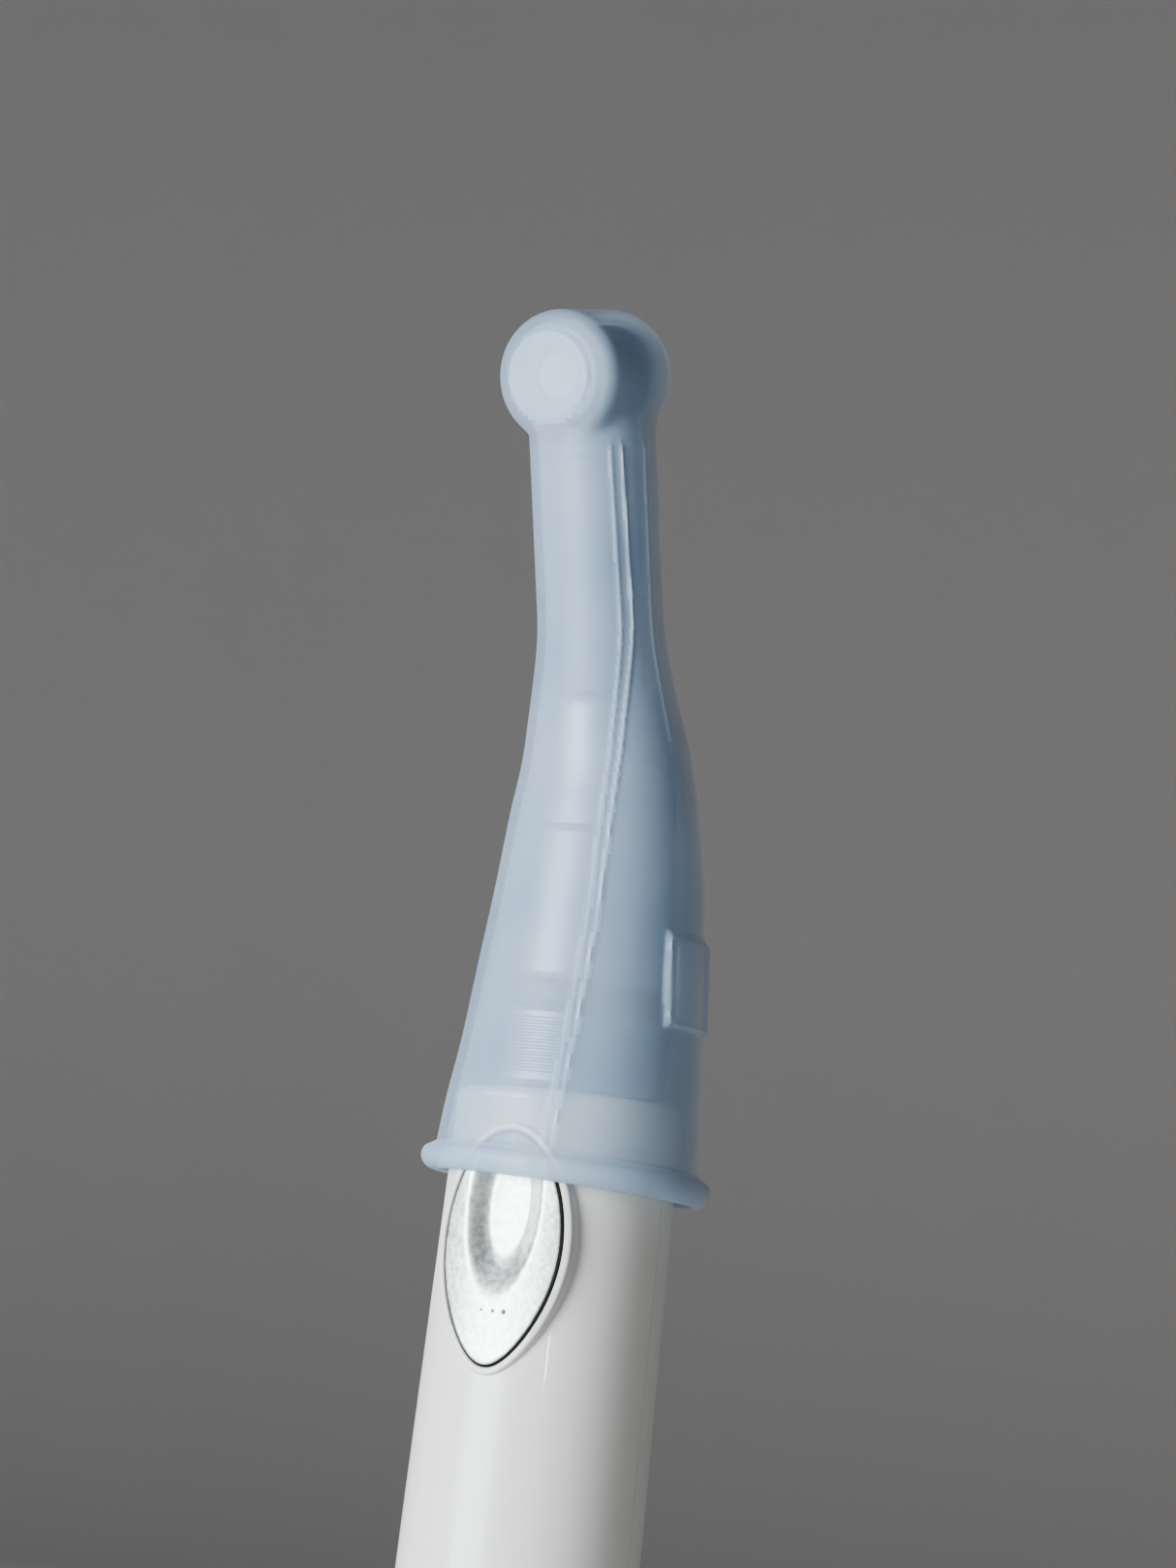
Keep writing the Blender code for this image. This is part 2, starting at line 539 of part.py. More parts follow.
def build_head(chrome, bearing, neck_frame, head_frame):
    """Head barrel with its neck socket, the cap ring and the two bearings of the chuck."""
    def sized(profile):
        return [(radius * H, height * H) for radius, height in profile]

    barrel = [(2.75, 3.4), (4.2, 3.4), (4.6, 3.0), (4.6, -4.2), (3.95, -4.2), (3.95, 2.95), (2.75, 2.95)]
    shell = turned("head_shell", sized(barrel), chrome, head_frame, steps=PLAIN)
    top = NECK_LENGTH
    socket = rod("head_socket", 4.0 * H, top - 7.0 * H, top - 3.0 * H, None, neck_frame, steps=PLAIN)
    combine(shell, 'UNION', socket)
    bore = rod("head_bore", 3.2 * H, top - 7.5 * H, top - 1.0 * H, None, neck_frame, steps=PLAIN)
    combine(shell, 'DIFFERENCE', bore)
    cavity = rod("head_cavity", 3.95 * H, -5.0 * H, 2.95 * H, None, head_frame, steps=PLAIN)
    combine(shell, 'DIFFERENCE', cavity)
    cap = [(3.65, -3.8), (3.65, -4.5), (4.6, -4.5), (4.6, -4.75), (4.35, -4.95), (2.6, -4.95), (2.6, -4.6),
           (3.1, -4.6), (3.1, -3.8)]
    turned("head_cap", sized(cap), chrome, head_frame, steps=PLAIN)
    ring("chuck_bearing_button_side", 1.5 * H, 3.6 * H, -3.3 * H, -2.65 * H, bearing, head_frame)
    ring("chuck_bearing_bur_side", 1.75 * H, 2.45 * H, 2.97 * H, 3.4 * H, bearing, head_frame)


def build_chuck(steel, frame):
    """The turning chuck: a bored spindle with its bevel gear on the button side."""
    _, gear_cone = head_cones()
    hub = -2.4
    profile = [(0, -1.2), (1.18, -1.2), (1.18, 3.5), (1.5, 3.5), (1.5, hub), (1.2, hub), (1.2, -3.2),
               (0, -3.2)]
    profile = [(radius * H, height * H) for radius, height in profile]
    chuck = turned("chuck_spindle", profile, steel, frame, steps=SMALL)
    half_tooth = 180.0 / CHUCK_TEETH
    gear = bevel_gear("chuck_gear", CHUCK_TEETH, gear_cone, HEAD_CONE * H, HEAD_FACE, half_tooth, frame)
    bore = rod("chuck_bore", 1.18 * H, -1.2 * H, 5 * H, None, frame)
    combine(gear, 'DIFFERENCE', bore)
    combine(chuck, 'UNION', gear)


def build_button(chrome, steel, frame):
    """The push button in the head cap, and the spring under it."""
    profile = [(0, -4.2), (2.8, -4.2), (2.8, -4.45), (2.3, -4.45), (2.3, -4.85), (2.0, -5.0), (0, -5.0)]
    profile = [(radius * H, height * H) for radius, height in profile]
    turned("push_button", profile, chrome, frame, steps=SMALL)
    coil("button_spring", 2.3 * H, 0.08, 2, -4.1 * H, -3.4 * H, steel, frame)


def build_sleeve(silicone, angle_frame, neck_frame, head_frame):
    """The silicone sleeve: bead, skirt, bent body, neck and head barrel, open at the bur and the mouth."""
    mouth = SHOULDER - 8.2 - BEND_Z
    # height past the bend, outer radius, and how far the sleeve hangs to the back of the axis
    stations = ((mouth, 12.35, 0.35), (mouth + 4.5, 12.0, 0.35), (mouth + 7.0, 11.85, 0.4),
                (mouth + 12, 11.0, 0.7), (mouth + 20, 10.3, 0.9), (-13.4, 9.85, 1.0), (-9.8, 9.5, 1.0),
                (-6.2, 9.1, 0.8), (-2.7, 8.5, 0.35), (0.0, 7.95, 0.1), (4.4, 7.2, 0.0), (8.0, 6.55, 0.0),
                (13.0, 5.75, 0.0))

    def tube(name, inward, low, material):
        rows = []
        for s, radius, shift in stations:
            scale = K if s < 5 else (K + H) / 2 if s < 10 else H
            height = s + (low if s == mouth else 0.0)
            rows.append(bend_ring(height, radius * scale - inward, PLAIN, shift))
        rows.append(bend_ring(NECK_LENGTH, 5.75 * H - inward))
        return loft(name, rows, material, angle_frame)

    def barrel(name, inward, material, pad):
        radius = 5.75 * H - inward
        top, bottom = 4.9 * H - inward, -6.5 * H + inward
        edge = SLEEVE_EDGE
        profile = [(0, top), (radius - edge, top), (radius - 0.3 * edge, top - 0.3 * edge),
                   (radius, top - edge), (radius, bottom + edge),
                   (radius - 0.3 * edge, bottom + 0.3 * edge), (radius - edge, bottom)]
        if pad:
            profile += [(3.6 * H, bottom), (3.5 * H, bottom - 0.3), (0, bottom - 0.3)]
        else:
            profile += [(0, bottom)]
        return turned(name, profile, material, head_frame, steps=PLAIN)

    sleeve = tube("silicone_sleeve", 0.0, 0.0, silicone)
    combine(sleeve, 'UNION', barrel("sleeve_head", 0.0, None, True))
    lip = [(12.35 * K - 0.4 + 1.25 * cos(angle), BEND_Z + mouth + 1.3 + 1.25 * sin(angle))
           for angle in (pi / 2 - pi * i / 5 for i in range(10))]
    bead = turned("sleeve_bead", lip, None, angle_frame, steps=PLAIN, location=(0, stations[0][2], 0))
    combine(sleeve, 'UNION', bead)
    low, high = SHOULDER + 6.5, SHOULDER + 15.5
    proud = [(9.85 * K + 0.5, high), (10.85 * K + 0.5, low), (10.85 * K - 0.5, low), (9.85 * K - 0.5, high)]
    plate = turned("sleeve_plate", proud, None, angle_frame, steps=FINE, location=(0, 0.85, 0))
    near, far = (-4.6 * K, -16 * K, low + 0.4), (4.6 * K, -4 * K, high - 0.4)
    patch = box("plate_patch", near, far, None, angle_frame)
    patch.rotation_euler = (0, 0, radians(PLATE_DEG))
    combine(plate, 'INTERSECT', patch)
    combine(sleeve, 'UNION', plate)
    combine(sleeve, 'DIFFERENCE', tube("sleeve_inside", SLEEVE_WALL, -2.0, None))
    combine(sleeve, 'DIFFERENCE', barrel("sleeve_head_inside", SLEEVE_WALL, None, False))
    combine(sleeve, 'DIFFERENCE', rod("bur_hole", 2.3 * H, 2 * H, 7 * H, None, head_frame))


def main():
    global parts, cutters
    clear_scene()
    parts = new_collection("cordless_prophy_handpiece")
    cutters = new_collection("cutters")

    white = make_material("white_plastic", (0.86, 0.88, 0.86), 0.25)
    silver = make_material("satin_silver", (0.72, 0.73, 0.72), 0.35, 0.9)
    chrome = make_material("satin_chrome", (0.62, 0.64, 0.66), 0.25, 1.0)
    steel = make_material("steel", (0.55, 0.55, 0.56), 0.3, 1.0)
    bearing = make_material("bearing_steel", (0.45, 0.46, 0.48), 0.3, 1.0)
    copper = make_material("copper_winding", (0.55, 0.27, 0.12), 0.4, 0.8)
    gold = make_material("gold_contact", (0.80, 0.60, 0.25), 0.3, 1.0)
    rubber = make_material("black_rubber", (0.03, 0.03, 0.03), 0.7)
    plastic = make_material("grey_plastic", (0.25, 0.26, 0.28), 0.5)
    wrap = make_material("cell_wrap", (0.10, 0.22, 0.38), 0.4)
    green = make_material("board_green", (0.03, 0.18, 0.08), 0.5)
    smoked = make_material("smoked_lens", (0.05, 0.06, 0.07), 0.1)
    colour = make_material("ring_brown", (0.45, 0.36, 0.30), 0.4)
    silicone = make_material("silicone", (0.74, 0.82, 0.86), 0.4, 0.0, 0.5)

    rotor_frame = make_empty("rotor_frame", location=(0, 0, SHOULDER))
    key_frame = make_empty("key_frame")
    angle_frame = make_empty("angle_frame", turn_z=ANGLE_TURN_DEG)
    rear_frame = make_empty("rear_shaft_frame", angle_frame, (0, 0, SHOULDER))
    neck_frame = make_empty("neck_frame", angle_frame, (0, 0, BEND_Z), BEND_DEG)
    bend = radians(BEND_DEG)
    middle = (0, -NECK_LENGTH * sin(bend), BEND_Z + NECK_LENGTH * cos(bend))
    head_frame = make_empty("head_frame", angle_frame, middle, BUR_TILT_DEG - 90)

    build_shells(white, smoked)
    build_key(silver, key_frame)
    build_handle_base(white, rubber, gold, steel)
    build_power(plastic, wrap, steel, gold, green, rubber, silver)
    build_motor(steel, copper, bearing, plastic, rubber, rotor_frame)
    build_angle_body(chrome, colour, bearing, angle_frame)
    build_rear_shaft(steel, rear_frame)
    build_front_shaft(steel, neck_frame)
    build_neck(chrome, bearing, neck_frame)
    build_head(chrome, bearing, neck_frame, head_frame)
    build_chuck(steel, head_frame)
    build_button(chrome, steel, head_frame)
    build_sleeve(silicone, angle_frame, neck_frame, head_frame)


main()
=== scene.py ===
"""Cordless prophy handpiece: a white motor handle with a silver thumb key and a sleeved contra-angle.

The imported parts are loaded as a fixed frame, and each operator below makes one piece or one group of
like pieces round it. Lengths in the code are millimetres, and MM turns them into metres.
"""

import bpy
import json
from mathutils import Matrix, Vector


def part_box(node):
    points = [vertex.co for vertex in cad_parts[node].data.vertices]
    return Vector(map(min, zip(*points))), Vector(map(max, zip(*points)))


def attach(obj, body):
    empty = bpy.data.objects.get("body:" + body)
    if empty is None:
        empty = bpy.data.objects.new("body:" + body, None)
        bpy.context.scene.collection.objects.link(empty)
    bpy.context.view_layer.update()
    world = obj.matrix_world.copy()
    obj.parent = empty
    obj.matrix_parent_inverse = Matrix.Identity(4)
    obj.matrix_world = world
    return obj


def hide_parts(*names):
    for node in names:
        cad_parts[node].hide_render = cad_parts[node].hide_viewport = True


bl_info = {
    "name": "Cordless prophy handpiece",
    "version": (1, 0, 0),
    "blender": (4, 5, 0),
    "location": "3D View > Sidebar > Handpiece",
    "description": "Makes a cordless dental handpiece with a sleeved contra-angle",
    "category": "Add Mesh",
}

import json
from math import acos, cos, degrees, pi, radians, sin, sqrt

import bmesh
import bpy
import numpy as np
from bpy.props import FloatProperty, FloatVectorProperty, PointerProperty
from mathutils import Matrix, Vector

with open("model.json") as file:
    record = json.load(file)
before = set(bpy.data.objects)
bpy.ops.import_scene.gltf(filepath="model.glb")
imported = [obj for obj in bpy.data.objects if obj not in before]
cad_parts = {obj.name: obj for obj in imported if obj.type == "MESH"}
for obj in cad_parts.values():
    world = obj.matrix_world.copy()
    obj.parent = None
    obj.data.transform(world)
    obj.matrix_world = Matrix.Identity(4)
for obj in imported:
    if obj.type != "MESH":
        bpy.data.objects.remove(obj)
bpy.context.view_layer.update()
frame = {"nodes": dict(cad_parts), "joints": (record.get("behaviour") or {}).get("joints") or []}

MM = 0.001


def box_mm(node):
    """Lowest and highest corners of a part, in millimetres."""
    low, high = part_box(node)
    return Vector(low) / MM, Vector(high) / MM


# Heights and places read from the parts
SHELL_BOTTOM = box_mm("handle_front_shell")[0].z
SHOULDER = box_mm("handle_front_shell")[1].z
KEY_LOW, KEY_HIGH = box_mm("main_key")
MOUTH_Z = box_mm("silicone_sleeve")[0].z


def joint(name):
    """The frame's entry for a joint."""
    return next(item for item in frame["joints"] if item["name"] == name)


BEND_POINT = Vector(joint("front_shaft_spin")["pos_m"]) / MM
NECK_AXIS = Vector(joint("front_shaft_spin")["axis"]).normalized()
HEAD_POINT = Vector(joint("chuck_spin")["pos_m"]) / MM
BUR_AXIS = Vector(joint("chuck_spin")["axis"]).normalized()
NECK_LENGTH = (HEAD_POINT - BEND_POINT).length


ANGLE_FRONT = Vector((NECK_AXIS.x, NECK_AXIS.y, 0)).normalized()


def placed(origin, up, front=ANGLE_FRONT):
    """A matrix at origin, in millimetres, whose Z is up and whose -Y is nearest to front."""
    z = up.normalized()
    y = (-(front - front.dot(z) * z)).normalized()
    x = y.cross(z)
    return Matrix.Translation(Vector(origin)) @ Matrix((x, y, z)).transposed().to_4x4()


UPWARDS = Vector((0, 0, 1))
OUTWARDS = Vector((0, -1, 0))                         # the way the thumb key faces
HANDLE = Matrix.Identity(4)
ANGLE = placed((0, 0, 0), UPWARDS)                    # on the handle's axis, turned with the contra-angle
NECK = placed(BEND_POINT, NECK_AXIS)                  # at the bend, Z up the neck
HEAD = placed(HEAD_POINT, BUR_AXIS, UPWARDS)          # in the head, Z towards the bur


# Sizes and colours that a user would change

def length_property(name, description, value, low=0.0):
    return FloatProperty(name=name, description=description + ", in millimetres", default=value, min=low)


class HandleSizes(bpy.types.PropertyGroup):
    wall: length_property("Shell wall", "Thickness of the two handle shells", 1.5, 0.5)
    seam: length_property("Seam", "Gap between the two shells", 0.12)
    rim: length_property("Rim height", "How far the key's rim stands out", 0.36)
    dish: length_property("Dish depth", "Depth of the key's thumb dish", 1.45)
    key_gap: length_property("Key gap", "Gap round the key", 0.25)


class SleeveSizes(bpy.types.PropertyGroup):
    wall: length_property("Wall", "Thickness of the silicone", 0.8, 0.3)
    rib: length_property("Rib height", "Height of the long ribs", 0.22)
    plate: length_property("Plate height", "How far the plate stands out", 0.5)
    milk: FloatProperty(name="Milkiness", description="Share of light that the silicone stops", default=0.38,
                        min=0.0, max=1.0, subtype='FACTOR')


def colour_property(name, description, value):
    return FloatVectorProperty(name=name, description=description, subtype='COLOR', size=3,
                               min=0.0, max=1.0, default=hex_colour(value)[:3])


def hex_colour(value):
    """sRGB hex to linear red, green, blue and an alpha of one."""
    channels = [int(value[i:i + 2], 16) / 255 for i in (1, 3, 5)]
    linear = [c / 12.92 if c <= 0.04045 else ((c + 0.055) / 1.055) ** 2.4 for c in channels]
    return (*linear, 1.0)


class Finishes(bpy.types.PropertyGroup):
    shell: colour_property("Handle", "Gloss moulded handle", "#F1F1E9")
    key: colour_property("Key", "Blasted aluminium of the key", "#E6EAE6")
    silicone: colour_property("Sleeve", "Milky silicone", "#AECBE6")
    ring: colour_property("Ring", "Colour ring of the contra-angle", "#55483F")


# Materials

def new_material(name, colour, roughness, metallic=0.0, **sockets):
    """A Principled material. More sockets are given by name, with _ for a space."""
    mat = bpy.data.materials.new(name)
    mat.use_nodes = True
    shader = mat.node_tree.nodes["Principled BSDF"]
    base = hex_colour(colour) if isinstance(colour, str) else (*colour, 1.0)
    shader.inputs["Base Color"].default_value = base
    shader.inputs["Roughness"].default_value = roughness
    shader.inputs["Metallic"].default_value = metallic
    for key, value in sockets.items():
        shader.inputs[key.replace("_", " ")].default_value = value
    return mat, shader


def add_node(mat, kind, settings=None, **links):
    """Add a node, set its fields and free sockets, and link the sockets named in links to outputs."""
    node = mat.node_tree.nodes.new(kind)
    for key, value in (settings or {}).items():
        if hasattr(node, key):
            setattr(node, key, value)
        else:
            node.inputs[key].default_value = value
    for key, source in links.items():
        mat.node_tree.links.new(source, node.inputs[key.replace("_", " ")])
    return node


def ramp_node(mat, source, low, high, at=(0.35, 0.65)):
    """Blend from one colour to another as source rises between two values."""
    ramp = add_node(mat, "ShaderNodeValToRGB", Fac=source)
    ramp.color_ramp.elements[0].position, ramp.color_ramp.elements[1].position = at
    ramp.color_ramp.elements[0].color, ramp.color_ramp.elements[1].color = low, high
    return ramp


def grain(mat, size, detail=2.0):
    """Noise whose lumps are size millimetres across, in the object's own space."""
    place = add_node(mat, "ShaderNodeTexCoord")
    return add_node(mat, "ShaderNodeTexNoise", {"Scale": 0.5 / (size * MM), "Detail": detail},
                    Vector=place.outputs["Object"])


def bump(mat, shader, source, height, strength=0.5):
    """Raise the surface by up to height millimetres where source is bright."""
    node = add_node(mat, "ShaderNodeBump", {"Distance": height * MM, "Strength": strength}, Height=source)
    mat.node_tree.links.new(node.outputs["Normal"], shader.inputs["Normal"])


def tint(mat, shader, source, dark, light, at=(0.35, 0.65)):
    ramp = ramp_node(mat, source, hex_colour(dark), hex_colour(light), at)
    mat.node_tree.links.new(ramp.outputs["Color"], shader.inputs["Base Color"])


def vary_roughness(mat, shader, source, low, high):
    node = add_node(mat, "ShaderNodeMapRange", {"To Min": low, "To Max": high}, Value=source)
    mat.node_tree.links.new(node.outputs["Result"], shader.inputs["Roughness"])


MATERIALS = {}


def make_materials(finishes):
    """All finishes, each named for what the real one is."""
    # Gloss injection-moulded ABS: a sharp highlight, with the faint waviness of a polished mould.
    mat, shader = new_material("gloss_moulded_abs", tuple(finishes.shell), 0.3, IOR=1.5,
                               Coat_Weight=0.22, Coat_Roughness=0.03)
    wave = grain(mat, 6.0)
    bump(mat, shader, wave.outputs["Fac"], 0.02, 0.35)
    fine = grain(mat, 0.8, 4.0)
    vary_roughness(mat, shader, fine.outputs["Fac"], 0.26, 0.36)
    MATERIALS["abs"] = mat

    # Bead-blasted aluminium: bright and dull at once, with a mottled grit of about 0.2 mm.
    mat, shader = new_material("bead_blasted_aluminium", tuple(finishes.key), 0.42, 1.0)
    grit = grain(mat, 0.32, 6.0)
    tint(mat, shader, grit.outputs["Fac"], "#C9D4CD", "#F6FAF6", (0.38, 0.6))
    bump(mat, shader, grit.outputs["Fac"], 0.05, 0.7)
    vary_roughness(mat, shader, grit.outputs["Fac"], 0.36, 0.52)
    MATERIALS["key"] = mat

    # Milky silicone: lets the metal below show as a soft shade, with a dull skin and a slight blue cast.
    # Where the wall is thick, at ribs, bead and pad, more of the light is stopped and the form reads white.
    milk = bpy.context.scene.sleeve_sizes.milk
    for key, name, share in (("silicone", "milky_silicone", milk),
                             ("thick", "thick_milky_silicone", milk + 0.24)):
        mat, shader = new_material(name, tuple(finishes.silicone), 0.36, IOR=1.41, Specular_IOR_Level=0.34,
                                   Alpha=min(share, 1.0))
        cloud = grain(mat, 5.0, 3.0)
        tint(mat, shader, cloud.outputs["Fac"], "#A9C6E0", "#BBD3EA")
        skin = grain(mat, 0.35, 4.0)
        bump(mat, shader, skin.outputs["Fac"], 0.02, 0.35)
        vary_roughness(mat, shader, skin.outputs["Fac"], 0.30, 0.44)
        MATERIALS[key] = mat

    # Satin chrome plate over turned brass, with faint rings left by the tool, on the collar, body and bend.
    # The neck and head get a rougher copy whose darker colour is painted shade, the dimmer look of the neck
    # and head under the light.
    for key, name, colour, roughness in (("chrome", "satin_chrome_plate", "#A2AEBF", 0.42),
                                         ("darker_chrome_painted_shade", "rougher_chrome_plate_painted_darker", "#6F7C92", 0.52)):
        mat, shader = new_material(name, colour, roughness, 1.0)
        place = add_node(mat, "ShaderNodeTexCoord")
        rings = add_node(mat, "ShaderNodeTexWave", {"bands_direction": 'Z', "Scale": 1 / (0.25 * MM),
                                                    "Distortion": 0.6}, Vector=place.outputs["Object"])
        bump(mat, shader, rings.outputs["Fac"], 0.004, 0.4)
        MATERIALS[key] = mat

    # Ground tool steel of shafts and gears, with an oily variation in the polish.
    mat, shader = new_material("ground_tool_steel", "#9A9B9E", 0.3, 1.0)
    film = grain(mat, 1.2, 3.0)
    vary_roughness(mat, shader, film.outputs["Fac"], 0.2, 0.42)
    bump(mat, shader, grain(mat, 0.12).outputs["Fac"], 0.006, 0.5)
    MATERIALS["steel"] = mat

    # Hardened bearing steel, darker and mirror smooth.
    mat, shader = new_material("bearing_steel", "#7E8187", 0.16, 1.0)
    vary_roughness(mat, shader, grain(mat, 1.0).outputs["Fac"], 0.12, 0.24)
    MATERIALS["bearing"] = mat

    # Enamelled copper winding, with the wires as fine bands along the motor.
    mat, shader = new_material("enamelled_copper_wire", "#A5562B", 0.35, 0.85,
                               Coat_Weight=0.5, Coat_Roughness=0.15)
    place = add_node(mat, "ShaderNodeTexCoord")
    wires = add_node(mat, "ShaderNodeTexWave", {"bands_direction": 'Z', "Scale": 1 / (0.9 * MM)},
                     Vector=place.outputs["Object"])
    tint(mat, shader, wires.outputs["Fac"], "#6E3216", "#C9743E", (0.2, 0.8))
    bump(mat, shader, wires.outputs["Fac"], 0.06, 0.8)
    MATERIALS["copper"] = mat

    # Gold plate on brass contacts, with light rubbing marks.
    mat, shader = new_material("gold_plated_brass", "#D9B25A", 0.22, 1.0)
    vary_roughness(mat, shader, grain(mat, 0.5, 4.0).outputs["Fac"], 0.15, 0.36)
    MATERIALS["gold"] = mat

    # Black nitrile rubber, dull with a fine moulded skin. On the key's sides and the rim's inner wall its
    # black is painted shade in the gap round the key.
    mat, shader = new_material("nitrile_rubber_and_painted_gap_shade", "#1B1B1C", 0.7)
    bump(mat, shader, grain(mat, 0.15, 4.0).outputs["Fac"], 0.02, 0.5)
    tint(mat, shader, grain(mat, 1.5).outputs["Fac"], "#161617", "#232324")
    MATERIALS["rubber"] = mat

    # Glass-filled nylon, dark grey with a spark-eroded grain.
    mat, shader = new_material("glass_filled_nylon", "#45474B", 0.55)
    spark = grain(mat, 0.3, 5.0)
    bump(mat, shader, spark.outputs["Fac"], 0.03, 0.6)
    tint(mat, shader, spark.outputs["Fac"], "#3B3D41", "#505257")
    MATERIALS["nylon"] = mat

    # Black epoxy of chips and switches.
    mat, shader = new_material("black_epoxy", "#17181A", 0.45)
    bump(mat, shader, grain(mat, 0.1, 3.0).outputs["Fac"], 0.01, 0.5)
    MATERIALS["epoxy"] = mat

    # Blue shrink sleeve of the cell, thin and shiny, pulled in slight wrinkles.
    mat, shader = new_material("pvc_shrink_sleeve", "#23507F", 0.25, Coat_Weight=0.3)
    bump(mat, shader, grain(mat, 2.5, 2.0).outputs["Fac"], 0.05, 0.4)
    MATERIALS["wrap"] = mat

    # Solder mask over woven glass board: green, with the weave showing faintly.
    mat, shader = new_material("solder_mask_on_fibreglass", "#1E6B3A", 0.35)
    place = add_node(mat, "ShaderNodeTexCoord")
    weave = add_node(mat, "ShaderNodeTexVoronoi", {"distance": 'CHEBYCHEV', "Scale": 1 / (0.8 * MM)},
                     Vector=place.outputs["Object"])
    tint(mat, shader, weave.outputs["Distance"], "#17552E", "#2A7E49", (0.1, 0.7))
    MATERIALS["board"] = mat

    # Smoked polycarbonate window.
    mat, shader = new_material("smoked_polycarbonate", "#20242A", 0.08, IOR=1.58, Alpha=0.85)
    vary_roughness(mat, shader, grain(mat, 2.0).outputs["Fac"], 0.05, 0.12)
    MATERIALS["smoked"] = mat

    # White lamp body.
    mat, shader = new_material("white_lamp_resin", "#E2E4DC", 0.3)
    bump(mat, shader, grain(mat, 0.3).outputs["Fac"], 0.01, 0.4)
    MATERIALS["lamp"] = mat

    # Soft brown coding ring, a matt moulded polymer.
    mat, shader = new_material("matt_moulded_polymer", tuple(finishes.ring), 0.5)
    bump(mat, shader, grain(mat, 0.2, 3.0).outputs["Fac"], 0.015, 0.5)
    MATERIALS["ring"] = mat


# Making meshes

def mm_mesh(name, points, faces, material, place=HANDLE, body=None, node=(), smooth=35,
            second=None):
    """Make a piece from points in millimetres in a frame, and let it ride on a body and stand for parts.

    Second is another finish and one flag for each face, which says where that finish goes.
    """
    mesh = bpy.data.meshes.new(name)
    world = [place @ Vector(point) * MM for point in points]
    mesh.from_pydata(world, [], faces)
    if second:
        mesh.polygons.foreach_set("material_index", [int(flag) for flag in second[1]])
    bm = bmesh.new()
    bm.from_mesh(mesh)
    bmesh.ops.remove_doubles(bm, verts=bm.verts, dist=0.000002)
    bmesh.ops.recalc_face_normals(bm, faces=bm.faces)
    bm.to_mesh(mesh)
    bm.free()
    if material:
        mesh.materials.append(MATERIALS[material])
    if second:
        mesh.materials.append(MATERIALS[second[0]])
    return add_piece(name, mesh, body, node, smooth)


def add_piece(name, mesh, body=None, node=(), smooth=35):
    mesh.shade_smooth()
    mesh.set_sharp_from_angle(angle=radians(smooth))
    obj = bpy.data.objects.new(name, mesh)
    bpy.context.scene.collection.objects.link(obj)
    if body:
        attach(obj, body)
        nodes = (node,) if isinstance(node, str) else node
        if nodes:
            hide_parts(*nodes)
    return obj


def lathe(profile, steps=96, start=0.0, sweep=360.0):
    """Points and faces of a profile turned about Z. A profile that starts off the axis is a closed ring."""
    ring = profile[0][0] > 1e-9
    full = sweep >= 360.0
    columns = steps if full else steps + 1
    points = []
    for i in range(columns):
        angle = radians(start + sweep * i / steps)
        points += [(radius * cos(angle), radius * sin(angle), height) for radius, height in profile]
    rows = len(profile)
    faces = []
    for i in range(steps):
        a, b = i * rows, ((i + 1) % columns) * rows
        for j in range(rows if ring else rows - 1):
            k = (j + 1) % rows
            quad = (a + j, a + k, b + k, b + j)
            if not ring and j == 0:
                quad = (a, a + k, b + k)
            if not ring and k == rows - 1:
                quad = (a + j, a + k, b + j)
            faces.append(quad)
    if not full:
        faces.append(tuple(range(rows)))
        faces.append(tuple(reversed(range((columns - 1) * rows, columns * rows))))
    return points, faces


def band(first, second, count):
    """Faces between two closed rows of points, given the number of each row's first point."""
    return [(first + i, first + (i + 1) % count, second + (i + 1) % count, second + i) for i in range(count)]


def soften(profile, radius, steps=4):
    """Round the corners of a profile with arcs of a radius, or less where an edge is short."""
    ring = profile[0][0] > 1e-9
    count = len(profile)
    out = []
    for i, (x, z) in enumerate(profile):
        if not ring and i in (0, count - 1):
            out.append((x, z))
            continue
        corner = Vector((x, z))
        before = Vector(profile[i - 1]) - corner
        after = Vector(profile[(i + 1) % count]) - corner
        turn = before.angle(after)
        if turn > radians(165):
            out.append((x, z))
            continue
        wanted = radius / max(sin(turn / 2) / cos(turn / 2), 0.1)
        back = min(wanted, before.length * 0.45, after.length * 0.45)
        first, last = corner + before.normalized() * back, corner + after.normalized() * back
        for k in range(steps + 1):
            t = k / steps
            point = first * (1 - t) ** 2 + corner * 2 * t * (1 - t) + last * t * t
            out.append((point.x, point.y))
    return out


def turned(name, profile, material, body, node=(), place=HANDLE, steps=96, round_by=0.15,
           smooth=35):
    points, faces = lathe(soften(profile, round_by) if round_by else profile, steps)
    return mm_mesh(name, points, faces, material, place, body, node, smooth)


def ring_profile(inner, outer, bottom, top):
    return [(inner, top), (outer, top), (outer, bottom), (inner, bottom)]


def cut(obj, cutter):
    """Cut a closed mesh out of a piece and leave the result as plain mesh."""
    modifier = obj.modifiers.new("Cut", 'BOOLEAN')
    modifier.operation = 'DIFFERENCE'
    modifier.solver = 'EXACT'
    modifier.object = cutter
    graph = bpy.context.evaluated_depsgraph_get()
    mesh = bpy.data.meshes.new_from_object(obj.evaluated_get(graph))
    obj.modifiers.clear()
    obj.data = mesh
    bpy.data.objects.remove(cutter, do_unlink=True)
    mesh.shade_smooth()
    mesh.set_sharp_from_angle(angle=radians(35))


def scratch_object(name, points, faces, place=HANDLE):
    """A closed helper mesh, to cut with."""
    return mm_mesh(name, points, faces, None, place)


# The handle's outline: share of its length, share of its widest radius
HANDLE_RADIUS = box_mm("end_cap")[1].y
OUTLINE_AT = (0.0, 0.08, 0.45, 0.7, 0.85, 1.0)
OUTLINE_R = (0.98, 1.0, 1.0, 0.964, 0.932, 0.902)
CROWN = 0.9         # rounding of the shoulder
NOSE_HOLE = 4.8     # radius of the hole that the motor's nose comes through


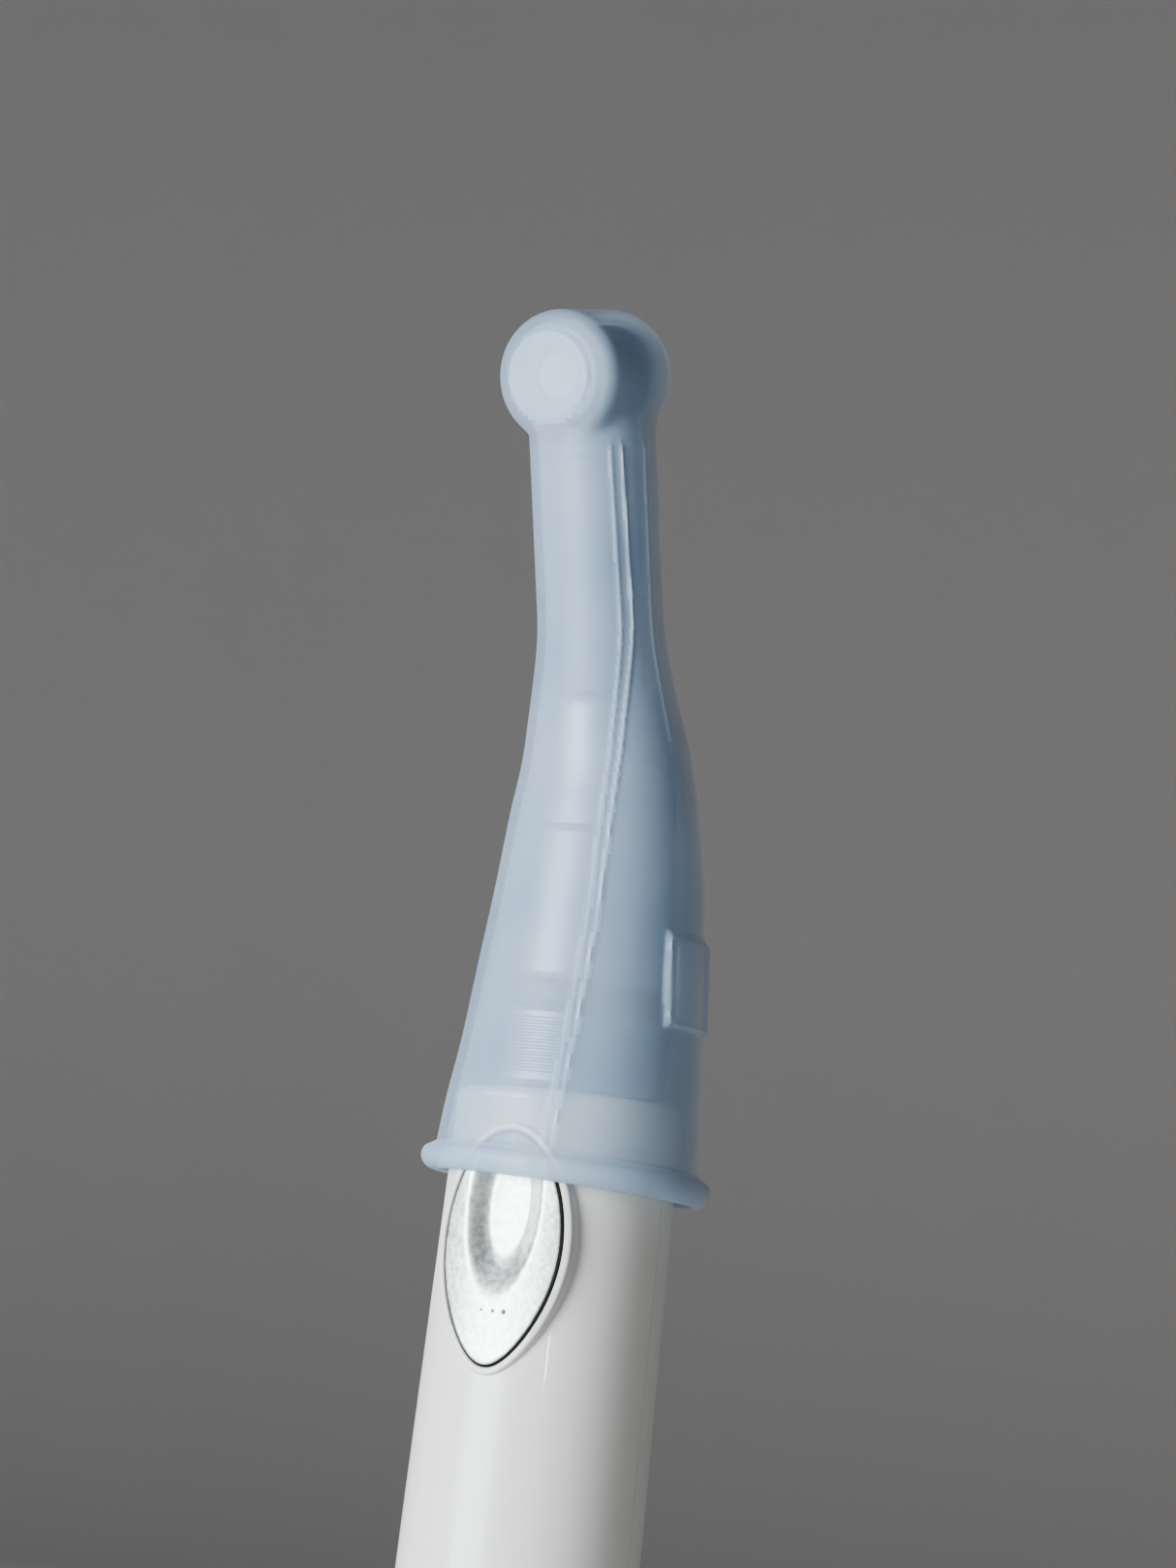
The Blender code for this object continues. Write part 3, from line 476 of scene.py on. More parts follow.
def handle_radius(z):
    """Radius of the handle at a height, with the outline's corners eased over a few millimetres."""
    spread = (-0.05, -0.03, 0.0, 0.03, 0.05)
    share = z / SHOULDER
    return HANDLE_RADIUS * sum(np.interp(share + s, OUTLINE_AT, OUTLINE_R) for s in spread) / len(spread)


def skin_point(x, z, height=0.0):
    """The point on the handle's front at x and z, raised by a height."""
    radius = handle_radius(z)
    y = -sqrt(max(radius * radius - x * x, 0.0))
    lift = (radius + height) / radius
    return (x * lift, y * lift, z)


def face_point(x, z, height=0.0):
    """The same on the key's face, which is flatter than the handle."""
    radius = handle_radius(z) + FLATTER
    return (x, FLATTER - sqrt(radius * radius - x * x) - height, z)


KEY_HALF = (KEY_HIGH.x - KEY_LOW.x) / 2
KEY_MID = KEY_LOW.z + 0.53 * (KEY_HIGH.z - KEY_LOW.z)    # height of the key's widest place
KEY_TAPER = 0.22    # how much narrower than an oval the key is at its tip
KEY_PROUD = 0.42    # the key's face over the handle's skin
KEY_BACK = 1.3      # the key's back under the handle's skin
FLATTER = 8.0       # the key's face is turned about an axis this far behind the handle's
LENS_LOW, LENS_HIGH = box_mm("status_lens")
LENS_MID = (LENS_HIGH.z + LENS_LOW.z) / 2
LENS_HALF = 0.9


def key_outline(angle, grow=0.0):
    """A point of the key's egg-shaped outline, at an angle round from the top and moved out by grow."""
    rise = cos(angle)
    x = KEY_HALF * sin(angle)
    if rise < 0:
        x *= 1 - KEY_TAPER * rise * rise
    reach = KEY_HIGH.z - KEY_MID if rise > 0 else KEY_MID - KEY_LOW.z
    return x + grow * sin(angle), KEY_MID + reach * rise + grow * cos(angle)


class HANDPIECE_OT_handle_shells(bpy.types.Operator):
    """Make the two gloss handle shells, with the key's opening and its raised rim"""
    bl_idname = "handpiece.handle_shells"
    bl_label = "Handle shells"

    def execute(self, context):
        sizes = context.scene.handle_sizes
        heights = np.arange(SHOULDER - CROWN, SHELL_BOTTOM + 0.2, -0.75)
        outer = [(handle_radius(z), z) for z in heights]
        top = handle_radius(SHOULDER)
        crown = [(top - CROWN * (1 - sin(a)), SHOULDER - CROWN * (1 - cos(a)))
                 for a in np.linspace(0, pi / 2, 7)[:-1]]
        foot = handle_radius(SHELL_BOTTOM)
        profile = [(NOSE_HOLE, SHOULDER)] + crown + outer
        profile += [(foot - 0.15, SHELL_BOTTOM), (foot - sizes.wall, SHELL_BOTTOM)]
        profile += [(handle_radius(z) - sizes.wall, z) for z in (30, 60, 90, 110, SHOULDER - sizes.wall)]
        profile += [(NOSE_HOLE, SHOULDER - sizes.wall)]
        slip = degrees(sizes.seam / 2 / HANDLE_RADIUS)
        for name, start in (("handle_front_shell", 180), ("handle_rear_shell", 0)):
            points, faces = lathe(profile, 96, start + slip, 180 - 2 * slip)
            shell = mm_mesh(name + "_skin", points, faces, "abs", HANDLE, "handle", name, 32)
            if name == "handle_front_shell":
                self.open_for_key(shell, sizes)
                self.add_rim(sizes)
        return {'FINISHED'}

    def open_for_key(self, shell, sizes):
        steps = 120
        outline = [key_outline(2 * pi * i / steps, sizes.key_gap + 0.15) for i in range(steps)]
        lens = [slot_outline(2 * pi * i / 48, 0.06) for i in range(48)]
        for name, shape in (("key_hole", outline), ("lens_hole", lens)):
            count = len(shape)
            points = [(x, -20, z) for x, z in shape] + [(x, -4, z) for x, z in shape]
            faces = band(0, count, count)
            faces += [tuple(reversed(range(count))), tuple(range(count, 2 * count))]
            cut(shell, scratch_object(name, points, faces))

    def add_rim(self, sizes):
        """The white lip round the key, run along the key's outline as a small rounded section."""
        gap, high = sizes.key_gap, sizes.rim
        lip = [(gap, high * 0.3), (gap + 0.03, high * 0.7), (gap + 0.14, high), (gap + 0.46, high),
               (gap + 0.6, high * 0.88), (gap + 0.66, high * 0.6)]
        skirt = [(gap + 0.68, 0.4), (gap + 0.7, 0.1), (gap + 0.76, 0.0), (gap + 0.8, -0.6),
                 (gap + 0.4, -1.45)]
        steps, rows = 160, len(lip) + len(skirt) + 1
        points = []
        for i in range(steps):
            angle = 2 * pi * i / steps
            points.append(skin_point(*key_outline(angle, gap), -1.45))
            points += [face_point(*key_outline(angle, out), height) for out, height in lip]
            edge = -face_point(*key_outline(angle, gap + 0.75), high * 0.6)[1]
            for out, share in skirt:
                x, z = key_outline(angle, out)
                skin = skin_point(x, z, min(share, 0.0))
                rise = max(share, 0.0)
                points.append((skin[0], skin[1] + (-edge - skin[1]) * rise, z))
        faces, inside = [], []
        for i in range(steps):
            a, b = i * rows, ((i + 1) % steps) * rows
            faces += band(a, b, rows)
            # The first band, the rim's inner wall facing the key, gets the black rubber finish: painted shade
            # in the gap round the key.
            inside += [j == 0 for j in range(rows)]
        mm_mesh("key_rim", points, faces, "abs", HANDLE, "handle", (), 50,
                ("rubber", inside))


def slot_outline(angle, grow=0.0):
    """A point of the lens's upright slot shape."""
    radius = LENS_HALF + grow
    straight = (LENS_HIGH.z - LENS_LOW.z) / 2 - LENS_HALF
    return radius * cos(angle), LENS_MID + radius * sin(angle) + (straight if sin(angle) > 0 else -straight)


class HANDPIECE_OT_thumb_key(bpy.types.Operator):
    """Make the silver thumb key with its dish, and the smoked status lens below it"""
    bl_idname = "handpiece.thumb_key"
    bl_label = "Thumb key and lens"

    def key_height(self, x, z, depth):
        """Height of the key's face over the handle's skin, with the oval thumb dish pressed into it."""
        half_width, half_height, middle = 3.9, 9.0, KEY_MID + 3.4
        across = x / half_width
        along = (z - middle) / half_height
        reach = sqrt(across * across + along * along)    # 1 at the dish's rim
        ease = min(max((1.0 - reach) / 0.55, 0.0), 1.0)
        return KEY_PROUD - depth * ease * ease * (3 - 2 * ease)

    def execute(self, context):
        sizes = context.scene.handle_sizes
        steps, rings = 160, 36
        points = [face_point(0, KEY_MID, self.key_height(0, KEY_MID, sizes.dish))]
        for k in range(1, rings + 1):
            share = k / rings
            for i in range(steps):
                x, z = key_outline(2 * pi * i / steps)
                x, z = x * share, KEY_MID + (z - KEY_MID) * share
                points.append(face_point(x, z, self.key_height(x, z, sizes.dish)))
        edge = [(0.04, KEY_PROUD - 0.04), (0.06, KEY_PROUD - 0.14), (0.06, -KEY_BACK), (-0.6, -KEY_BACK)]
        for grow, height in edge:
            points += [face_point(*key_outline(2 * pi * i / steps, grow), height) for i in range(steps)]
        points.append(face_point(0, KEY_MID, -KEY_BACK))
        rows = rings + len(edge)
        faces = [(0, 1 + i, 1 + (i + 1) % steps) for i in range(steps)]
        for k in range(rows - 1):
            a, b = 1 + k * steps, 1 + (k + 1) * steps
            faces += [(a + i, b + i, b + (i + 1) % steps, a + (i + 1) % steps) for i in range(steps)]
        last = 1 + (rows - 1) * steps
        faces += [(last + i, len(points) - 1, last + (i + 1) % steps) for i in range(steps)]
        # The key's rounded edge, sides and back get the black rubber finish: painted shade that makes the gap
        # round the key read dark.
        sides = [False] * (steps * rings) + [True] * (len(faces) - steps * rings)
        mm_mesh("thumb_key", points, faces, "key", HANDLE, "key", "main_key", 50,
                ("rubber", sides))
        self.make_stem()
        self.make_marks()
        self.make_lens()
        return {'FINISHED'}

    def make_stem(self):
        """The stem that presses the switch, with its travel left open in front of the switch."""
        gap, length, radius = 0.65, 0.58, 1.5
        foot = gap - box_mm("key_switch")[0].y
        place = placed((0, 0, KEY_MID), OUTWARDS, UPWARDS)
        profile = [(0, foot + length), (radius, foot + length), (radius, foot), (0, foot)]
        turned("key_stem", profile, "key", "key", (), place, 48, 0.2)

    def make_marks(self):
        """Three small dark light holes below the thumb dish."""
        for index, (x, size) in enumerate(((-0.85, 0.14), (0.3, 0.18), (1.35, 0.24))):
            place = placed(face_point(x, KEY_LOW.z + 4.7, KEY_PROUD + 0.02), OUTWARDS, UPWARDS)
            profile = [(0, 0), (size, 0), (size, -0.3), (0, -0.3)]
            turned("key_mark_%d" % index, profile, "epoxy", "key", (), place, 20, 0.05)

    def make_lens(self):
        steps = 48
        points, faces = [], []
        rows = ((0.0, 0.12), (0.7, 0.12), (0.92, 0.08), (1.0, -0.02), (1.0, -1.2), (0.0, -1.2))
        for share, height in rows:
            for i in range(steps):
                x, z = slot_outline(2 * pi * i / steps)
                points.append(skin_point(x * share, LENS_MID + (z - LENS_MID) * share, height))
        for k in range(len(rows) - 1):
            a, b = k * steps, (k + 1) * steps
            faces += [(a + i, b + i, b + (i + 1) % steps, a + (i + 1) % steps) for i in range(steps)]
        mm_mesh("status_window", points, faces, "smoked", HANDLE, "handle", "status_lens", 40)


class HANDPIECE_OT_end_cap(bpy.types.Operator):
    """Make the end cap with its seal, charging contacts and screws"""
    bl_idname = "handpiece.end_cap"
    bl_label = "End cap"

    def execute(self, context):
        top = box_mm("cap_seal")[0].z - 0.3
        radius = HANDLE_RADIUS
        profile = [(0, 3), (7.4, 3), (7.4, 14), (8.8, 14), (8.8, top), (radius - 0.25, top),
                   (radius - 0.05, top - 1), (radius, 5), (radius - 0.03, 2.4), (radius - 0.5, 0.7),
                   (radius - 1.6, 0), (0, 0)]
        cap = turned("handle_end_cap", profile, "abs", "handle", "end_cap", steps=128, round_by=0.5)
        for name in ("charge_contact_left", "charge_contact_right"):
            low, high = box_mm(name)
            y = (low.y + high.y) / 2
            hole = Matrix.Translation((0, y, 0))
            points, faces = lathe([(0, 20), (1.55, 20), (1.55, 0.3), (1.85, -0.1), (1.85, -1), (0, -1)], 48)
            cut(cap, scratch_object("contact_hole", points, faces, hole))
            pin = [(0, high.z), (1.3, high.z), (1.3, low.z), (0, low.z)]
            turned(name + "_pin", pin, "gold", "handle", name, hole, 48, 0.35)
        for name in ("cap_screw_left", "cap_screw_right"):
            low, high = box_mm(name)
            place = Matrix.Translation(((low.x + high.x) / 2, 0, 0))
            bore = [(0, 20), (1.1, 20), (1.1, 2.3), (1.9, 2.3), (1.9, 0.2), (2.1, -0.1), (2.1, -1), (0, -1)]
            points, faces = lathe(bore, 48)
            cut(cap, scratch_object("screw_hole", points, faces, place))
            self.make_screw(name, place, low.z, high.z)
        low, high = box_mm("cap_seal")
        turned("cap_seal_ring", ring_profile(9.1, high.x, low.z, high.z), "rubber", "handle", "cap_seal",
               steps=128, round_by=0.3)
        return {'FINISHED'}

    def make_screw(self, name, place, low, high):
        """A cross-head screw, its thread cut as a row of rings."""
        shank = [(0.82 if i % 2 else 0.62, high - 0.4 - 0.25 * i) for i in range(30)]
        shank = [point for point in shank if point[1] > 2.3]
        head = [(0.8, 2.0), (1.6, 2.0), (1.6, low + 0.35), (1.2, low), (0, low)]
        profile = [(0, high), (0.5, high)] + shank + head
        screw = turned(name + "_turned", profile, "steel", "handle", name, place, 48, 0)
        for wide, deep in ((1.05, 0.17), (0.17, 1.05)):
            corners = [(x * wide, y * deep, z) for z in (low - 0.5, low + 0.75)
                       for x, y in ((-1, -1), (1, -1), (1, 1), (-1, 1))]
            sides = [(0, 1, 5, 4), (1, 2, 6, 5), (2, 3, 7, 6), (3, 0, 4, 7), (3, 2, 1, 0), (4, 5, 6, 7)]
            cut(screw, scratch_object("cross", corners, sides, place))


class HANDPIECE_OT_motor_nose(bpy.types.Operator):
    """Make the motor's nose with its rubber ring, which carries the contra-angle"""
    bl_idname = "handpiece.motor_nose"
    bl_label = "Motor nose"

    def execute(self, context):
        low, high = box_mm("motor_nose")
        ring_low, ring_high = box_mm("nose_o_ring")
        middle = (ring_low.z + ring_high.z) / 2
        groove_low, groove_high = middle - 0.65, middle + 0.65
        nose, flange, flange_top = 4.5, 8.2, SHOULDER - 1.8
        profile = [(3.9, high.z), (nose, high.z - 0.6), (nose, groove_high), (3.7, groove_high),
                   (3.7, groove_low), (nose, groove_low), (nose, flange_top), (flange, flange_top),
                   (flange, low.z), (1.5, low.z), (1.5, SHOULDER - 3), (2.6, SHOULDER - 3), (2.6, high.z)]
        turned("nose_spigot", profile, "steel", "handle", "motor_nose", steps=112, round_by=0.18)
        turns = np.linspace(pi / 2, -3 * pi / 2, 17)[:-1]
        bead = [(4.33 + 0.33 * cos(a), middle + 0.33 * sin(a)) for a in turns]
        turned("nose_rubber_ring", bead, "rubber", "handle", "nose_o_ring", steps=112, round_by=0)
        return {'FINISHED'}


ANGLE_BORE = 4.95    # radius of the bore that takes the motor's nose
NECK_BORE = 3.2
NECK_RADIUS = 4.0


class HANDPIECE_OT_contra_angle(bpy.types.Operator):
    """Make the contra-angle's collar, colour ring, body, bend and neck"""
    bl_idname = "handpiece.contra_angle"
    bl_label = "Contra-angle body"

    def execute(self, context):
        low, high = box_mm("rear_collar")
        outer = (high.y - low.y) / 2
        grips = []
        count = 9
        for i in range(count):
            z = high.z - 1.2 - i * (high.z - low.z - 2.6) / (count - 1)
            grips += [(outer, z + 0.2), (outer - 0.18, z + 0.1), (outer - 0.18, z - 0.1), (outer, z - 0.2)]
        profile = [(ANGLE_BORE, high.z), (outer - 0.2, high.z), (outer, high.z - 0.5)] + grips
        profile += [(outer, low.z + 0.5), (outer - 0.25, low.z), (ANGLE_BORE, low.z)]
        turned("collar_turned", profile, "chrome", "angle", "rear_collar", ANGLE, 112, 0.06)
        low, high = box_mm("colour_ring")
        ring = ring_profile(ANGLE_BORE, 8.2, low.z, high.z)
        turned("coding_ring", ring, "ring", "angle", "colour_ring", ANGLE, 112, 0.3)
        low, high = box_mm("body_sleeve")
        top, seat = high.z, box_mm("rear_shaft_bearing")[0].z - 0.7
        floor = seat + 3.2
        profile = [(6.15, top), (6.8, top), (7.0, top - 0.5), (7.4, top - 5.0), (7.75, top - 9),
                   (8.05, low.z + 0.6), (7.85, low.z), (ANGLE_BORE, low.z), (ANGLE_BORE, seat), (3.3, seat),
                   (3.3, floor), (6.15, floor)]
        turned("body_turned", profile, "chrome", "angle", "body_sleeve", ANGLE, 112, 0.15)
        self.make_bend()
        # The neck tube takes the chrome copy whose darker colour is painted shade.
        tube = ring_profile(NECK_BORE, NECK_RADIUS, 8.1, NECK_LENGTH - 7.3)
        turned("neck_turned", tube, "darker_chrome_painted_shade", "angle", "neck_tube", NECK, 96, 0.15)
        return {'FINISHED'}

    def make_bend(self):
        """The cast housing round the bend, from its outer wall up to its mouth and down its inner wall."""
        stations = np.linspace(-5.3, 7.8, 28)
        outer = np.interp(stations, (-5.3, -2.6, 0, 2.6, 5.2, 7.2, 7.8),
                          (6.85, 6.6, 6.3, 5.95, 5.6, 5.3, 4.9))
        inner = np.interp(stations, (-5.3, -2.6, 0, 2.6, 5.2, 7.8), (6.1, 5.5, 5.1, 4.7, 4.4, 4.3))
        rows = list(zip(stations, outer)) + list(zip(stations[::-1], inner[::-1]))
        points, faces = [], []
        columns = 96
        for s, radius in rows:
            centre, tangent = centre_line(np.array([s]))
            points += ring_of(centre[0], tangent[0], radius, columns)
        for k in range(len(rows)):
            a, b = k * columns, ((k + 1) % len(rows)) * columns
            faces += band(a, b, columns)
        mm_mesh("bend_cast", points, faces, "chrome", ANGLE, "angle", "bend_housing")


BEND_Z = BEND_POINT.z
BEND = acos(NECK_AXIS.z)
HEAD_RADIUS = 4.6
HEAD_WIDTH = 1.09    # width of the sleeve's head against its height
PAD_FACE = -6.45     # along the bur's axis, what lies beyond this is the button pad's face
EASE = 3.0           # half-length of the curve that eases the bend
SIDE = np.array((1.0, 0.0, 0.0))


def centre_line(s):
    """Points and directions of the bent axis, s millimetres past the bend, in the angle's frame."""
    up, neck = np.array((0, 0, 1.0)), np.array((0, -sin(BEND), cos(BEND)))
    corner = np.array((0, 0, BEND_Z))
    t = np.clip((s + EASE) / (2 * EASE), 0, 1)[:, None]
    low, high = corner - EASE * up, corner + EASE * neck
    curve = low * (1 - t) ** 2 + corner * 2 * t * (1 - t) + high * t * t
    before, after = np.minimum(s + EASE, 0)[:, None], np.maximum(s - EASE, 0)[:, None]
    tangent = up * (1 - t) + neck * t
    return curve + before * up + after * neck, tangent / np.linalg.norm(tangent, axis=1)[:, None]


def ring_of(centre, tangent, radius, columns):
    """Points of a circle round the bent axis. Angle 0 is the front, and angles grow towards +X."""
    back = np.cross(tangent, SIDE)
    angles = np.arange(columns) * 2 * pi / columns
    return [tuple(centre + radius * (SIDE * sin(a) - back * cos(a))) for a in angles]


class HANDPIECE_OT_head(bpy.types.Operator):
    """Make the contra-angle's head, its cap ring and the push button"""
    bl_idname = "handpiece.head"
    bl_label = "Head and push button"

    def execute(self, context):
        # The head's barrel, socket and cap ring take the chrome copy whose darker colour is painted shade.
        barrel = [(2.75, 3.4), (4.2, 3.4), (HEAD_RADIUS, 3.0), (HEAD_RADIUS, -4.2), (3.95, -4.2),
                  (3.95, 2.95), (2.75, 2.95)]
        shell = turned("head_barrel", barrel, "darker_chrome_painted_shade", "angle", "head_shell", HEAD, 112, 0.12)
        points, faces = lathe(ring_profile(NECK_BORE, NECK_RADIUS, NECK_LENGTH - 7.0, NECK_LENGTH - 3.9), 96)
        mm_mesh("head_socket", points, faces, "darker_chrome_painted_shade", NECK, "angle", ())
        top, bottom = NECK_LENGTH - 1, NECK_LENGTH - 8
        points, faces = lathe([(0, top), (NECK_BORE, top), (NECK_BORE, bottom), (0, bottom)])
        cut(shell, scratch_object("neck_bore", points, faces, NECK))
        cap = [(3.65, -3.8), (3.65, -4.5), (HEAD_RADIUS, -4.5), (HEAD_RADIUS, -4.75), (4.35, -4.95),
               (2.6, -4.95), (2.6, -4.6), (3.1, -4.6), (3.1, -3.8)]
        turned("head_cap_ring", cap, "darker_chrome_painted_shade", "angle", "head_cap", HEAD, 112, 0.08)
        button = [(0, -4.2), (2.8, -4.2), (2.8, -4.45), (2.3, -4.45), (2.3, -4.85), (2.0, -5.0), (0.9, -4.93),
                  (0, -4.9)]
        turned("button_turned", button, "chrome", "button", "push_button", HEAD, 96, 0.08)
        return {'FINISHED'}


MOUTH_RADIUS = 12.35
BEAD_SIZE = 1.3
BUR_HOLE = 2.3                 # radius of the hole in front of the chuck
PAD_REACH = 4.6                # half-height of the button pad's face
RUNGS = (8.1, 16.8, 25.0)      # places of the short cross ribs along the neck
RUNG_ENDS = (radians(60), radians(88))
SIDE_LINE = radians(88)        # where the moulding line runs up the neck's side
PLATE_SIDE = radians(102)      # where the middle of the plate is, round from the front
HEAD_ZONE = NECK_LENGTH - 9    # from here up the sleeve's skin is found along rays, to take in the head
EASING = (-2.2, -1.4, -0.7, 0.0, 0.7, 1.4, 2.2)


def eased(s, at, values):
    """Values between stations along the bent axis, eased over four millimetres."""
    return sum(np.interp(s + d, at, values) for d in EASING) / len(EASING)


def outwards(angles, back):
    """Directions away from the bent axis. Back points to the rear of the axis there."""
    return SIDE * np.sin(angles)[:, None] - back * np.cos(angles)[:, None]


def ridge(gap, height, width):
    """A smooth ridge of a height, where gap is the distance from its middle line."""
    return height * np.exp(-(gap / width) ** 2)


class SleeveShape:
    """The silicone sleeve's outer form, in the angle's frame, as a distance that is zero on its surface."""

    def __init__(self, sizes):
        self.sizes = sizes
        self.mouth = MOUTH_Z - BEND_Z
        self.at = np.array((self.mouth, self.mouth + 4.5, self.mouth + 7.0, self.mouth + 12, self.mouth + 20,
                            -13.4, -9.8, -6.2, -2.7, 0.6, 4.4, 8.0, 13.0, NECK_LENGTH + 9))
        self.size = np.array((12.15, 11.75, 11.6, 10.95, 10.25, 9.85, 9.5, 9.1, 8.5, 7.9, 7.2, 6.55,
                              5.75, 5.8))
        self.back = np.array((0.45, 0.5, 0.6, 0.8, 0.9, 1.0, 1.0, 0.8, 0.35, 0.1, 0.0, 0.0, 0.0, 0.0))
        to_angle = ANGLE.inverted()
        self.head = np.array(to_angle @ HEAD_POINT)
        self.bur = np.array((to_angle.to_3x3() @ BUR_AXIS))
        self.neck = np.array((to_angle.to_3x3() @ NECK_AXIS))
        top = self.neck - (self.neck @ self.bur) * self.bur
        self.rise = top / np.linalg.norm(top)
        self.bend = np.array((0, 0, BEND_Z))

    def radius(self, s):
        """Outer radius along the bent axis."""
        return eased(s, self.at, self.size)

    def offset(self, s):
        """How far the sleeve hangs to the back of the axis."""
        return eased(s, self.at, self.back)

    def slant(self, points):
        """Lower the mouth a little on its far right side, since the sleeve sits askew on the handle."""
        share = np.clip(1 - (points[..., 2] - MOUTH_Z) / 14.0, 0, 1)[..., None]
        across = points @ np.array((cos(radians(36)), sin(radians(36)), 0))
        return points - 0.04 * share * across[..., None] * np.array((0, 0, 1.0))

    def detail(self, s, angle, radius):
        """Height of ribs, rungs, moulding lines and the plate over the plain form."""
        rib = self.sizes.rib
        across = radius * np.sin(angle)
        front = np.cos(angle) > -0.2
        place = np.interp(s, (-35, -15, 0, 8, 30), (5.45, 5.5, 5.05, 5.05, 4.8))
        flat = np.clip(np.cos(angle), 0.35, 1.0)
        fade = np.clip((NECK_LENGTH - 6.0 - s) / 0.8, 0, 1)
        lift = 0 * s
        for side, size in ((-0.45, 0.75), (0.45, 1.0)):
            gap = (across - place - side * 0.9 * flat ** 0.5) / flat
            lift = lift + ridge(gap, rib * size, 0.2) * fade * front
        wrapped = (angle + pi) % (2 * pi) - pi
        for line in (wrapped, np.abs(wrapped) - pi):
            lift = lift + ridge(line * radius, 0.07, 0.14) * fade
        lift = lift + ridge((wrapped - SIDE_LINE) * radius, 0.13, 0.18) * fade * (s > 3)
        first, last = RUNG_ENDS
        slope = (wrapped - first) / (last - first)
        on = (slope > 0) & (slope < 1)
        for height in RUNGS:
            lift = lift + ridge(s - height - 0.35 * slope, 0.13, 0.17) * on
        return lift + self.plate(s, wrapped, radius)

    def plate(self, s, wrapped, radius):
        """A plain rectangular plate with a low border, on the side of the skirt."""
        z = s + BEND_Z
        along = np.minimum(z - (SHOULDER + 6.9), (SHOULDER + 15.1) - z)
        across = 4.6 - np.abs((wrapped - PLATE_SIDE) * radius)
        inside = np.minimum(along, across)
        step = np.clip(inside / 0.3 + 0.5, 0, 1)
        border = ridge(inside - 0.75, 0.12, 0.18)
        return self.sizes.plate * step * step * (3 - 2 * step) - border * (inside > 0)

    def head_distance(self, points):
        """Distance to the head's rounded barrel, its button pad's two steps and the neck, softly joined."""
        rel = points - self.head
        along = rel @ self.bur
        around = np.hypot(rel @ self.rise, rel[..., 0] / HEAD_WIDTH)
        barrel = rounded_barrel(along, around, -6.05, 4.75, 6.02, 1.7, 2.2)
        step = rounded_barrel(along, around, -6.25, -5.0, 4.9, 0.45, 0.3)
        pad = rounded_barrel(along, around, -6.6, -5.0, 4.15, 0.25, 0.25)
        head = soft_union(soft_union(barrel, step, 0.25), pad, 0.1)
        below = (points - self.bend) @ self.neck
        out = np.linalg.norm(points - self.bend - below[..., None] * self.neck, axis=-1)
        neck = np.maximum(out - self.radius(below), below - NECK_LENGTH)
        return soft_union(head, neck, 0.7)

    def reach(self, origins, directions, wall):
        """Distance along each ray to the head's surface, wall millimetres inside it."""
        near, far = np.full(origins.shape[:-1], 1.0), np.full(origins.shape[:-1], 12.0)
        for _ in range(34):
            middle = (near + far) / 2
            outside = self.head_distance(origins + middle[..., None] * directions) > -wall
            far = np.where(outside, middle, far)
            near = np.where(outside, near, middle)
        return (near + far) / 2


def rounded_barrel(along, around, low, high, radius, low_round, high_round):
    """Distance to a cylinder with two different edge roundings."""
    middle = (low + high) / 2
    edge = np.where(along < middle, low_round, high_round)
    end = np.abs(along - middle) - (high - low) / 2 + edge
    side = around - radius + edge
    outside = np.hypot(np.maximum(end, 0), np.maximum(side, 0))
    return np.minimum(np.maximum(end, side), 0) + outside - edge


def soft_union(a, b, blend):
    h = np.clip(0.5 + 0.5 * (b - a) / blend, 0, 1)
    return b * (1 - h) + a * h - blend * h * (1 - h)


